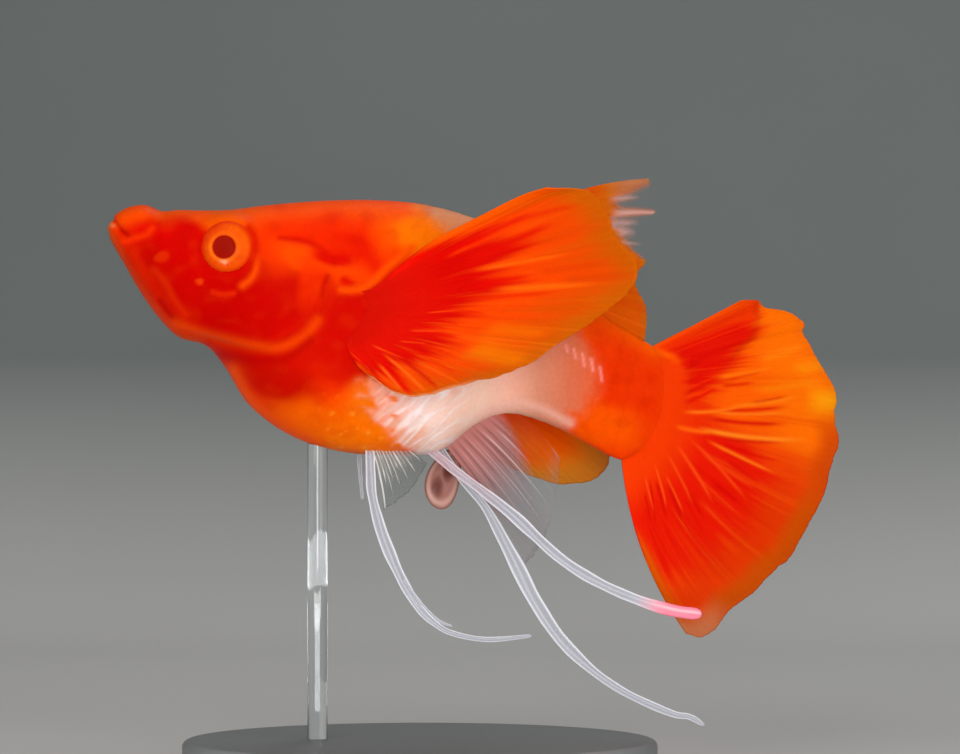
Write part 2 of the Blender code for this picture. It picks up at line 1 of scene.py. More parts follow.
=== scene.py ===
# %% [markdown]
# # A fancy guppy on a display stand
# This lesson dresses a still, life-size model of a guppy: a red and orange fish of the albino kind, with
# ear-like pectoral fins, a tail fan and long ribbon rays. The solids of the model are loaded first as a
# fixed frame. They already have every size and place right, so the lesson works on what the eye enjoys:
# one unbroken skin with its folds and scales, glassy eyes, and fins thin enough for light to pass.

# %% Load the frame
import json
import math

import bpy
import numpy as np
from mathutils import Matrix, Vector

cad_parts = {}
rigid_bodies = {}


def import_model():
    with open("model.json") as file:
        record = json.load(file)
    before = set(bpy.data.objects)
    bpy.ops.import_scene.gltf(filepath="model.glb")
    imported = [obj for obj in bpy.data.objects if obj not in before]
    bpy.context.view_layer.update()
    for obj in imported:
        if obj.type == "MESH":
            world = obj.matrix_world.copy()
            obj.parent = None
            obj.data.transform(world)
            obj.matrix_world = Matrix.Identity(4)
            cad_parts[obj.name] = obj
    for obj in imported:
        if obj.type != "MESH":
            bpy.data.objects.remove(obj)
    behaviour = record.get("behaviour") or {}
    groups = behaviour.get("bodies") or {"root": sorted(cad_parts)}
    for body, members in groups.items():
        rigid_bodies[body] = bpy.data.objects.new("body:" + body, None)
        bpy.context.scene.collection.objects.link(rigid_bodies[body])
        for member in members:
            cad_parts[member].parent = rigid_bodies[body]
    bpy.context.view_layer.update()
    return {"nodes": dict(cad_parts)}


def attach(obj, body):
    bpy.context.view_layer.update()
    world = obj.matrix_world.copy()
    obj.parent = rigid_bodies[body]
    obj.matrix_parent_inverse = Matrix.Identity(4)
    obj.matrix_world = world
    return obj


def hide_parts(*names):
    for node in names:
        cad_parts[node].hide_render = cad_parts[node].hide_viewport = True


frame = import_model()
MM = 0.001

# %% [markdown]
# The colours are written as web hex values, the way a painter would pick them on a screen. Blender mixes
# light in linear values, so one function turns the hex into those. Another lays colour over colour, as
# thin glazes are laid over a ground.

# %% Colours


def linear(hex_colour):
    """An sRGB hex colour as linear red, green and blue."""
    values = [int(hex_colour[i:i + 2], 16) / 255 for i in (1, 3, 5)]
    return np.array([v / 12.92 if v <= 0.04045 else ((v + 0.055) / 1.055) ** 2.4 for v in values])


def smoothstep(low, high, value):
    """0 before low and 1 beyond high, with a soft slope between. low may be the larger one."""
    share = np.clip((value - low) / (high - low), 0.0, 1.0)
    return share * share * (3 - 2 * share)


def mixed(tint, colour, amount):
    """tint moved towards a colour by amount, for whole arrays of points at once."""
    return tint + (colour - tint) * np.asarray(amount)[..., None]


def layered(ground, *layers):
    """Lays pairs of (hex colour, amount) in turn over a ground: a hex colour or an earlier tint."""
    tint = linear(ground) if isinstance(ground, str) else ground
    for colour, amount in layers:
        tint = mixed(tint, linear(colour), amount)
    return tint


print("back orange in linear light:", linear("#F84A00").round(3))

# %% [markdown]
# ## Sheets and tubes from a grid
# Skin, fins and ribbons are all thin surfaces that curve two ways. A grid primitive is a fair start for
# each: it has rows and columns already, and code can carry each of its points to its place. For a tube
# the grid is rolled up, and the seam and the two ends are then welded with Merge by Distance in edit
# mode. The merge distance is a thousandth of a millimetre, because this fish is small.

# %% A grid that is carried to its place

MERGE_DISTANCE = 0.001 * MM


def deselect():
    if bpy.context.object and bpy.context.object.mode != "OBJECT":
        bpy.ops.object.mode_set(mode="OBJECT")
    bpy.ops.object.select_all(action="DESELECT")


def select_only(piece):
    deselect()
    piece.select_set(True)
    bpy.context.view_layer.objects.active = piece


def edit_all(piece):
    """Opens a piece in edit mode, with all of it selected."""
    select_only(piece)
    bpy.ops.object.mode_set(mode="EDIT")
    bpy.ops.mesh.select_all(action="SELECT")


def point_array(piece):
    """Every point of a mesh, in millimetres."""
    flat = np.empty(len(piece.data.vertices) * 3)
    piece.data.vertices.foreach_get("co", flat)
    return flat.reshape(-1, 3) / MM


def put_points(piece, points):
    """Carries every point of a mesh to its place, in millimetres."""
    piece.data.vertices.foreach_set("co", (points * MM).ravel())
    piece.data.update()


def grid_piece(name, places):
    """A grid of as many rows and columns as places has, with each point carried to its place."""
    rows, columns = places.shape[0], places.shape[1]
    deselect()
    bpy.ops.mesh.primitive_grid_add(x_subdivisions=columns - 1, y_subdivisions=rows - 1, size=1)
    piece = bpy.context.object
    piece.name = name
    piece.data.name = name
    flat = point_array(piece) * MM
    row = np.rint((flat[:, 1] + 0.5) * (rows - 1)).astype(int)
    column = np.rint((flat[:, 0] + 0.5) * (columns - 1)).astype(int)
    put_points(piece, places[row, column])
    return piece, row, column


print("a grid's points are placed in steps of", MM, "m and merged within", MERGE_DISTANCE, "m")

# %% [markdown]
# Four more steps come back for every piece: welding its seams, applying its modifiers, storing its
# colours at its points, and finishing it with a material, smooth shading and the names of the solids that
# it stands for.

# %% Weld, apply, paint and finish


def weld(piece):
    """Merges the seam and the end poles, and turns every face outwards."""
    edit_all(piece)
    bpy.ops.mesh.remove_doubles(threshold=MERGE_DISTANCE)
    bpy.ops.mesh.normals_make_consistent(inside=False)
    bpy.ops.object.mode_set(mode="OBJECT")


def apply_modifiers(piece):
    select_only(piece)
    for change in list(piece.modifiers):
        bpy.ops.object.modifier_apply(modifier=change.name)


def paint(piece, tint, solidity=None):
    """Stores a colour, and if given how solid the piece looks from 0 to 1, at each point of the mesh."""
    layer = piece.data.color_attributes.new("Tint", "FLOAT_COLOR", "POINT")
    whole = np.ones((len(tint), 4))
    whole[:, :3] = tint
    layer.data.foreach_set("color", whole.ravel())
    if solidity is not None:
        body = piece.data.attributes.new("Body", "FLOAT", "POINT")
        body.data.foreach_set("value", np.ascontiguousarray(solidity, dtype=float))


def finish_piece(piece, material, slot, *nodes):
    """Gives a piece its material and smooth shading, and says which solids it stands for."""
    piece.data.materials.clear()
    piece.data.materials.append(material)
    piece.data.shade_smooth()
    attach(piece, "root")
    if nodes:
        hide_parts(*nodes)
    print(piece.name, "has", len(piece.data.polygons), "faces")


print("solids to dress:", ", ".join(sorted(frame["nodes"])[:3]), "and", len(frame["nodes"]) - 3, "more")

# %% [markdown]
# ## Smooth curves
# Each outline is a few given points, with a Catmull-Rom curve through them: it passes through
# every point, so a size that was measured on the fish stays true.

# %% Curves through a few points


def catmull(values, t):
    """The smooth curve through a row of numbers or vectors, at t from 0 to its last index."""
    last = len(values) - 1
    i = min(int(t), last - 1)
    f = t - i
    b, c = values[i], values[i + 1]
    a = values[i - 1] if i > 0 else b * 2 - c
    d = values[i + 2] if i + 2 <= last else c * 2 - b
    square, cube = a * 2 - b * 5 + c * 4 - d, b * 3 - a - c * 3 + d
    return (b * 2 + (c - a) * f + square * f ** 2 + cube * f ** 3) * 0.5


def even_curve(points, count, steps=400):
    """count places evenly spread along the smooth curve through points."""
    stops = [np.array(p, dtype=float) for p in points]
    fine = np.array([catmull(stops, (len(stops) - 1) * k / steps) for k in range(steps + 1)])
    run = np.concatenate([[0.0], np.cumsum(np.linalg.norm(np.diff(fine, axis=0), axis=1))])
    wanted = np.linspace(0.0, run[-1], count)
    return np.stack([np.interp(wanted, run, fine[:, i]) for i in range(fine.shape[1])], axis=1)


print("five places on a bow:", even_curve(((0, 0), (1, 1), (2, 0)), 5).round(2).tolist())

# %% [markdown]
# The outlines are measured in the side view, where nearer things look larger. So each point that lies off
# the fish's middle plane is moved along the camera's line of sight, and still appears where it was
# measured.

# %% From the side view to space and back

VIEW_DISTANCE = 256.0  # millimetres from the camera to the fish's middle plane
VIEW_CENTRE = np.array((4.8, 32.0))


def with_depth(points, depths):
    """Side-view points lifted to evenly blended depths, each still on the camera's line of sight."""
    lifted = []
    for k, point in enumerate(points):
        y = catmull([float(d) for d in depths], (len(depths) - 1) * k / (len(points) - 1))
        x, z = VIEW_CENTRE + (np.array(point) - VIEW_CENTRE) * ((VIEW_DISTANCE + y) / VIEW_DISTANCE)
        lifted.append((x, y, z))
    return lifted


def seen(points):
    """Where points appear in the side view: nearer things look larger. The right side is mirrored."""
    share = VIEW_DISTANCE / (VIEW_DISTANCE - np.abs(points[..., 1]))
    return VIEW_CENTRE + (points[..., [0, 2]] - VIEW_CENTRE) * share[..., None]


print("the tail's root drawn 10 mm nearer:", np.round(with_depth(((18, 30), (20, 30)), (-10, -10))[0], 2))

# %% [markdown]
# ## Camera, floor and light
# The fish was seen level, from its left side, so the camera looks along +Y at mid height with a long
# lens. The floor is a plain pale sheet that curves up behind the model, as in a product studio.

# %% Camera

CAMERA_LENS = 120.0  # millimetres, on a 36 mm sensor
camera_data = bpy.data.cameras.new("side camera")
camera_data.lens = CAMERA_LENS
camera_data.sensor_width = 36.0
camera_data.clip_start = 0.01
camera = bpy.data.objects.new("side camera", camera_data)
bpy.context.scene.collection.objects.link(camera)
camera.location = (VIEW_CENTRE[0] * MM, -VIEW_DISTANCE * MM, VIEW_CENTRE[1] * MM)
camera.rotation_euler = (math.radians(90), 0, 0)
bpy.context.scene.camera = camera
print("the camera stands at", [round(c, 4) for c in camera.location])

# %% [markdown]
# The backdrop starts as a plane. Its back edge is extruded upwards, and a bevel turns the crease between
# floor and wall into a wide cove, so no line shows behind the fish.

# %% Floor and backdrop

FLOOR_FRONT, FLOOR_BACK, FLOOR_SIDE, WALL_HEIGHT = -0.9, 0.26, 0.9, 0.9  # metres
COVE = 0.14


def bevel(piece, name, width, segments, sharp):
    """Rounds the edges at which faces turn by more than sharp degrees."""
    rounding = piece.modifiers.new(name, "BEVEL")
    rounding.width = width
    rounding.segments = segments
    rounding.limit_method = "ANGLE"
    rounding.angle_limit = math.radians(sharp)
    apply_modifiers(piece)


deselect()
bpy.ops.mesh.primitive_plane_add(size=1, location=(0, 0, 0))
backdrop = bpy.context.object
backdrop.name = "backdrop"
for corner in backdrop.data.vertices:
    corner.co.x = FLOOR_SIDE if corner.co.x > 0 else -FLOOR_SIDE
    corner.co.y = FLOOR_BACK if corner.co.y > 0 else FLOOR_FRONT
bpy.ops.object.mode_set(mode="EDIT")
bpy.ops.mesh.select_all(action="DESELECT")
bpy.ops.object.mode_set(mode="OBJECT")
for edge in backdrop.data.edges:
    edge.select = all(backdrop.data.vertices[v].co.y > 0 for v in edge.vertices)
bpy.ops.object.mode_set(mode="EDIT")
bpy.ops.mesh.select_mode(type="EDGE")
bpy.ops.mesh.extrude_region_move(TRANSFORM_OT_translate={"value": (0, 0, WALL_HEIGHT)})
bpy.ops.object.mode_set(mode="OBJECT")
bevel(backdrop, "cove", COVE, 24, 30)
backdrop.data.shade_smooth()
print("backdrop faces:", len(backdrop.data.polygons))

# %% [markdown]
# ## Nodes with one helper
# A material here is a small net of nodes. One function adds a node, sets its values and links its inputs,
# so each material reads as a list of what it is made of. Numbers that are the same all over a surface are
# set straight on the shader's own sockets.

# %% Material helpers


def new_material(name, constants):
    """A material with these constants on its shader's sockets, its node tree, and the shader."""
    made = bpy.data.materials.new(name)
    made.use_nodes = True
    shader = made.node_tree.nodes["Principled BSDF"]
    for socket, value in constants.items():
        shader.inputs[socket].default_value = value
    return made, made.node_tree, shader


def feed(tree, made, links):
    """Feeds sockets of a node, each from (node, output name)."""
    for socket, (source, output) in links.items():
        tree.links.new(source.outputs[output], made.inputs[socket])


def node(tree, kind, values=(), links=(), **settings):
    """Adds a node. values sets its sockets, links feeds its sockets from (node, output name)."""
    made = tree.nodes.new(kind)
    for key, value in settings.items():
        setattr(made, key, value)
    for socket, value in dict(values).items():
        made.inputs[socket].default_value = value
    feed(tree, made, dict(links))
    return made


def rgba(hex_colour):
    return (*linear(hex_colour), 1.0)


print("mid grey as a socket takes it:", [round(float(c), 3) for c in rgba("#808080")])

# %% [markdown]
# The backdrop is matt paper. Paper scatters light evenly, so it is rough, with no coat and a faint mottle
# that keeps it from looking like a computer's grey. The sheet is pale where it is the floor and turns to
# a mid grey as it rises, because clear fins show only against something darker than they are.

# %% Paper backdrop

paper, tree, shader = new_material("matt paper", {"Roughness": 0.9, "Specular IOR Level": 0.15})
place = node(tree, "ShaderNodeTexCoord")
height = node(tree, "ShaderNodeSeparateXYZ", {}, {"Vector": (place, "Object")})
rise = node(tree, "ShaderNodeMapRange", {"From Max": 0.035}, {"Value": (height, "Z")})
mottle = node(tree, "ShaderNodeTexNoise", {"Scale": 14.0, "Detail": 3.0}, {"Vector": (place, "Object")})
floor_grey, wall_grey = (
    node(tree, "ShaderNodeMix", {"A": rgba(darker), "B": rgba(lighter)}, {"Factor": (mottle, "Fac")},
         data_type="RGBA")
    for darker, lighter in (("#B6B5B3", "#BEBDBB"), ("#6C7170", "#747978")))
sheet = node(tree, "ShaderNodeMix", {}, {"Factor": (rise, "Result"), "A": (floor_grey, "Result"),
                                         "B": (wall_grey, "Result")}, data_type="RGBA")
feed(tree, shader, {"Base Color": (sheet, "Result")})
backdrop.data.materials.append(paper)
print(paper.name, "has", len(tree.nodes), "nodes")

# %% [markdown]
# Water scatters light all round a fish, so its underside is nearly as bright as its flank. Three wide
# lamps in front and a thin one near the floor give that shadow-poor light, one above lights the back, and
# one behind shines through the fins.

# %% Lamps

FISH_MIDDLE = (0.004, 0.0, 0.034)  # metres


def lamp(name, place, size, power, colour="#FFFFFF", height=None):
    """An area lamp at place, facing the fish, in metres and watts. It is square unless it has a height."""
    data = bpy.data.lights.new(name, "AREA")
    data.size = size
    if height:
        data.shape = "RECTANGLE"
        data.size_y = height
    data.energy = power
    data.color = linear(colour)
    made = bpy.data.objects.new(name, data)
    bpy.context.scene.collection.objects.link(made)
    made.location = place
    made.rotation_euler = (Vector(FISH_MIDDLE) - Vector(place)).to_track_quat("-Z", "Y").to_euler()
    print(name, "lamp of", power, "W")


lamp("key", (-0.16, -0.34, 0.24), 0.3, 0.63, "#FFFAF2")
lamp("fill", (0.28, -0.3, 0.14), 0.26, 0.36)
lamp("low front", (0.02, -0.42, 0.075), 0.14, 0.56)
lamp("under", (0.0, -0.075, 0.005), 0.13, 0.026, height=0.009)
lamp("top", (0.0, 0.0, 0.34), 0.24, 0.14)
lamp("behind", (0.1, 0.16, 0.3), 0.16, 0.22)
world = bpy.data.worlds.new("studio")
bpy.context.scene.world = world
world.use_nodes = True
world.node_tree.nodes["Background"].inputs["Color"].default_value = rgba("#F2F5F7")
world.node_tree.nodes["Background"].inputs["Strength"].default_value = 0.28
bpy.context.scene.view_settings.view_transform = "Standard"

# %% [markdown]
# ## The skin
# On the real fish one skin runs from lip to tail root, over jaw, gill covers and belly. It could be
# modelled from a block, but a loft follows the measured outline better: a row of cross-sections, each an
# egg-like curve between a point on the back and one on the belly. The same sections shaped the solids
# underneath.

# %% Sections of the body
# Each station: back (x, z), belly (x, z), half width, height of the widest place as a share of the depth,
# squareness of the upper half and of the lower half, and sideways bend, in millimetres.

STATIONS = (
    ((-24.75, 44.35), (-24.9, 43.75), 0.55, 0.5, 2.0, 2.0, 0.0),
    ((-24.2, 45.05), (-24.7, 42.9), 1.5, 0.55, 2.2, 2.2, 0.0),
    ((-23.2, 45.6), (-24.2, 42.0), 2.05, 0.58, 2.3, 2.1, 0.0),
    ((-21.9, 45.74), (-23.5, 40.8), 2.4, 0.6, 2.4, 2.1, 0.0),
    ((-20.6, 45.27), (-22.6, 39.2), 2.6, 0.6, 2.5, 2.0, 0.0),
    ((-19.2, 45.35), (-21.1, 37.0), 3.16, 0.6, 2.6, 2.0, 0.0),
    ((-17.2, 45.3), (-19.3, 35.2), 3.72, 0.6, 2.8, 1.95, 0.0),
    ((-15.0, 45.35), (-17.1, 34.5), 4.19, 0.6, 2.8, 1.9, 0.0),
    ((-12.8, 45.65), (-15.6, 32.8), 4.56, 0.58, 2.6, 1.85, 0.0),
    ((-10.4, 45.9), (-13.6, 29.7), 4.88, 0.54, 2.4, 1.9, 0.0),
    ((-7.4, 46.1), (-10.3, 27.3), 5.21, 0.5, 2.2, 2.0, 0.0),
    ((-4.0, 46.15), (-6.4, 26.05), 5.49, 0.46, 2.1, 2.1, 0.0),
    ((-0.4, 45.9), (-2.0, 25.75), 5.58, 0.43, 2.0, 2.2, 0.0),
    ((2.8, 45.2), (1.5, 26.05), 5.12, 0.43, 2.0, 2.2, 0.0),
    ((5.6, 44.1), (4.4, 28.15), 4.19, 0.45, 2.0, 2.0, 0.0),
    ((9.0, 41.8), (7.1, 29.1), 3.16, 0.48, 2.0, 2.0, 0.1),
    ((12.4, 38.6), (10.4, 28.2), 2.33, 0.5, 2.0, 2.0, 0.35),
    ((15.6, 36.3), (13.5, 26.6), 1.8, 0.5, 2.0, 2.0, 0.75),
    ((18.5, 34.6), (16.1, 25.35), 1.15, 0.5, 2.0, 2.0, 1.25),
    ((20.1, 33.4), (17.9, 25.9), 0.55, 0.5, 2.0, 2.0, 1.45),
    ((21.8, 33.2), (19.6, 25.2), 0.16, 0.5, 2.0, 2.0, 1.75),
)
RINGS_PER_SPAN = 20
AROUND = 224
MOUTH_RINGS = 6  # between the first section and the pole at the front of the mouth


def body_ring(t):
    """One cross-section of the body, as AROUND + 1 points from the back round and back again."""
    columns = list(zip(*STATIONS))
    back, belly = (catmull([np.array(p) for p in column], t) for column in columns[:2])
    width, level, top_square, low_square, bend = (catmull(column, t) for column in columns[2:])
    depth = np.linalg.norm(back - belly)
    up = (back - belly) / depth
    angle = np.linspace(0.0, 2 * math.pi, AROUND + 1)
    side, rise = np.sin(angle), np.cos(angle)
    square = np.where(rise > 0, top_square, low_square)
    reach = np.sign(rise) * np.abs(rise) ** (2 / square) * np.where(rise > 0, 1 - level, level) * depth
    out = np.sign(side) * np.abs(side) ** (2 / square) * width
    middle = belly + up * depth * level
    return np.stack([middle[0] + up[0] * reach, bend + out, middle[1] + up[1] * reach], axis=1)


spans = len(STATIONS) - 1
body = [body_ring(k / RINGS_PER_SPAN) for k in range(spans * RINGS_PER_SPAN + 1)]
mouth_middle, tail_middle = body[0][:-1].mean(axis=0), body[-1][:-1].mean(axis=0)
front = [mouth_middle + (body[0] - mouth_middle) * k / MOUTH_RINGS for k in range(MOUTH_RINGS)]
body = np.array(front + body + [np.broadcast_to(tail_middle, body[-1].shape)])
print("body grid:", body.shape)

# %% [markdown]
# ### Folds
# A fish's face is a set of plates and folds: the slit of the mouth, the chin, the gill cover with its
# free rear edge. Each is drawn as a line in the side view and pushed in or pulled out of the skin with a
# soft profile. That is quicker than sculpting, it is the same on both sides, and each line keeps its
# name.

# %% Folds of the face
# name: line (x, z) in the side view, half width, height (inwards is negative), in millimetres

EYE = (-15.45, 42.46)  # middle of the iris
GILL_EDGE = (
    (-11.2, 43.15), (-9.4, 42.95), (-7.9, 42.1), (-7.0, 40.8), (-7.55, 39.7), (-7.8, 38.6), (-8.2, 37.2),
    (-9.3, 35.9), (-10.6, 34.9), (-12.4, 34.1), (-14.6, 34.4), (-16.6, 34.95), (-18.6, 35.3),
)
FOLDS = {
    "mouth slit": (
        ((-25.0, 45.0), (-24.5, 44.55), (-24.2, 44.1), (-23.9, 43.65), (-23.5, 43.3)), 0.15, -0.13),
    "corner of the mouth": (((-23.6, 43.35), (-22.9, 43.0), (-22.2, 43.1)), 0.35, -0.06),
    "upper lip": (((-24.0, 44.8), (-23.6, 44.3), (-23.1, 43.75)), 0.4, 0.06),
    "lower lip": (((-24.75, 43.9), (-24.3, 43.35), (-23.9, 42.9)), 0.36, 0.08),
    "groove behind the lip": (((-20.7, 45.0), (-21.2, 44.2), (-21.7, 43.6), (-22.2, 43.2)), 0.3, -0.06),
    "jaw fold": (((-22.6, 42.6), (-22.2, 41.4), (-21.4, 40.2), (-20.6, 39.0)), 0.4, -0.06),
    "chin roll": (((-23.7, 42.6), (-22.9, 41.2), (-21.9, 39.4), (-20.9, 37.9), (-19.5, 36.5)), 0.5, 0.08),
    "throat slit": (((-20.8, 38.1), (-20.1, 37.2), (-19.4, 36.5), (-18.6, 36.0)), 0.26, -0.05),
    "rim of the gill cover": (
        ((-18.8, 36.1), (-17.0, 35.7), (-14.6, 35.1), (-12.4, 34.8), (-11.0, 35.6), (-9.9, 36.5),
         (-8.9, 37.6), (-8.5, 38.8), (-8.2, 39.8), (-7.9, 40.7), (-8.6, 41.7), (-9.8, 42.2)), 0.6, 0.09),
    "gill slit": (GILL_EDGE, 0.28, -0.12),
    "inner gill plate": (((-13.6, 41.2), (-13.9, 39.8), (-14.5, 38.8), (-15.6, 38.2)), 0.3, -0.07),
    "cheek crescent": (((-13.2, 41.9), (-13.1, 40.7), (-13.6, 39.7), (-14.3, 39.0)), 0.25, 0.07),
    "under the eye": (((-16.8, 39.1), (-15.7, 38.8), (-14.8, 38.9)), 0.22, 0.05),
    "fold over the pectoral": (((-6.9, 40.4), (-6.0, 40.7), (-5.0, 40.3), (-4.2, 39.6)), 0.35, 0.1),
    "pit over the pectoral": (((-6.1, 39.5), (-5.4, 39.55)), 0.38, -0.28),
}
MOUTH_END = -22.0  # ahead of this x the folds run right round, and behind it they lie on the flanks only


def line_distance(points, line):
    """How far each side-view point lies from a line, in millimetres."""
    best = np.full(points.shape[:-1], 1e9)
    smooth = even_curve(line, 6 * len(line))
    for a, b in zip(smooth, smooth[1:]):
        way = b - a
        share = np.clip(((points - a) @ way) / max(way @ way, 1e-9), 0.0, 1.0)
        best = np.minimum(best, np.linalg.norm(points - a - share[..., None] * way, axis=-1))
    return best


def soft_line(points, line, half_width):
    """1 on a line, falling smoothly to 0 at about twice its half width."""
    return np.exp(-(line_distance(points, line) / half_width) ** 2)


side_view = seen(body)
seen_x, seen_z = side_view[..., 0], side_view[..., 1]
relief = np.zeros(body.shape[:2])
for line, half_width, height in FOLDS.values():
    relief += soft_line(side_view, line, half_width) * height
flank = smoothstep(1.2, 2.2, np.abs(body[..., 1]))
relief *= np.where(seen_x < MOUTH_END, 1.0, flank)
print("deepest and highest fold, mm:", relief.min().round(2), relief.max().round(2))

# %% [markdown]
# ### Scales
# A guppy has about 28 scales along its flank, each a thin disc tucked under the one ahead, so only its
# rear edge stands free. The pattern is worked out in millimetres along and around the body: at each point
# the front-most disc that covers it wins, and its height rises towards its rear edge.

# %% Scale pattern

SCALE_LENGTH = 1.32  # from one row to the next
SCALE_WIDTH = 1.5
SCALE_RADIUS = 1.02
SCALE_NARROWING = 1.12  # how much shorter a disc's reach is around the body than along it
SCALE_HEIGHT = 0.035


def along_and_around(grid):
    """Millimetres along the flank and around from the middle of the back, for each point of a grid."""
    flank_line = grid[:, AROUND // 4]
    along = np.concatenate([[0.0], np.cumsum(np.linalg.norm(np.diff(flank_line, axis=0), axis=1))])
    steps = np.linalg.norm(np.diff(grid, axis=1), axis=2)
    around = np.concatenate([np.zeros((len(grid), 1)), np.cumsum(steps, axis=1)], axis=1)
    around = np.minimum(around, around[:, -1:] - around)
    return np.broadcast_to(along[:, None], around.shape), around


def scale_pattern(along, around):
    """Height from 0 to 1 of the scales, and how near each point is to the free edge of its scale."""
    height = np.zeros(along.shape)
    edge = np.zeros(along.shape)
    row = np.floor(along / SCALE_LENGTH)
    found = np.zeros(along.shape, dtype=bool)
    for back in (1, 0):
        this_row = row - back
        shift = np.where(this_row % 2 == 0, 0.0, 0.5)
        centre_along = this_row * SCALE_LENGTH
        centre_around = (np.rint(around / SCALE_WIDTH - shift) + shift) * SCALE_WIDTH
        reach = np.hypot(along - centre_along, (around - centre_around) * SCALE_NARROWING)
        inside = (reach <= SCALE_RADIUS * SCALE_LENGTH) & ~found & (along >= centre_along)
        share = reach / (SCALE_RADIUS * SCALE_LENGTH)
        height = np.where(inside, share, height)
        edge = np.where(inside, smoothstep(0.72, 0.98, share), edge)
        found |= inside
    return height, edge


along, around = along_and_around(body)
scale_height, scale_edge = scale_pattern(along, around)
scaled = smoothstep(-8.5, -5.0, seen_x) * smoothstep(20.0, 17.0, seen_x)  # the head has no scales
relief += SCALE_HEIGHT * scaled * (scale_height - 0.5)
print("scale rows along the body:", int(along.max() / SCALE_LENGTH))

# %% [markdown]
# The relief moves each point along the skin's own outward direction, which comes from the two grid
# directions there. Round each eye the skin is drawn level with the eye's rim, and under the eye it is
# sunk, so that the eye sits in a socket. The grid is then rolled up and its ends are closed.

# %% Raise the relief and close the skin


def outward(grid):
    """Outward direction at each point of a rolled grid."""
    lengthwise = np.gradient(grid, axis=0)
    padded = np.concatenate([grid[:, -2:-1], grid, grid[:, 1:2]], axis=1)
    crosswise = (padded[:, 2:] - padded[:, :-2]) / 2
    normal = np.cross(crosswise, lengthwise)
    size = np.linalg.norm(normal, axis=2, keepdims=True)
    normal = normal / np.maximum(size, 1e-9)
    middle = grid[:, :-1].mean(axis=1, keepdims=True)
    turned = np.sign(np.sum(normal * (grid - middle), axis=2).mean())
    return normal * turned


EYE_RIM = 2.0  # radius at which the skin meets the eye
RIM_LEVEL = 4.09  # how far that rim lies from the mid plane
RIM_SLOPE = 0.3  # how fast the skin falls away outside the rim
RIM_BLEND = 1.2  # width over which it takes that level
EYE_LEAN = np.array((0.17, -0.12))  # how fast the eye's face turns outwards to the tail, and inwards upwards
SOCKET_DEPTH = 0.7
EYE_AXIS = VIEW_CENTRE + (np.array(EYE) - VIEW_CENTRE) * (VIEW_DISTANCE - RIM_LEVEL) / VIEW_DISTANCE


def flush_with_eyes(grid):
    """Draws the skin round each eye level with the eye's rim, and sinks it under the eye itself."""
    offset = grid[..., [0, 2]] - EYE_AXIS
    away = np.linalg.norm(offset, axis=-1)
    level = RIM_LEVEL - RIM_SLOPE * (away - EYE_RIM) + offset @ EYE_LEAN
    for side in (-1, 1):
        near = grid[..., 1] * side > 1.0
        pull = smoothstep(EYE_RIM + RIM_BLEND, EYE_RIM, away) * near
        sunk = SOCKET_DEPTH * smoothstep(EYE_RIM, EYE_RIM - 0.2, away) * near
        grid[..., 1] += (side * level - grid[..., 1]) * pull - side * sunk


skin_grid = body + outward(body) * relief[..., None]
flush_with_eyes(skin_grid)
skin_grid[0] = skin_grid[0].mean(axis=0)
skin_grid[-1] = skin_grid[-1].mean(axis=0)
skin_grid[:, -1] = skin_grid[:, 0]
skin, skin_row, skin_column = grid_piece("skin", skin_grid)
print("the skin reaches from x =", skin_grid[..., 0].min().round(2), "to", skin_grid[..., 0].max().round(2))
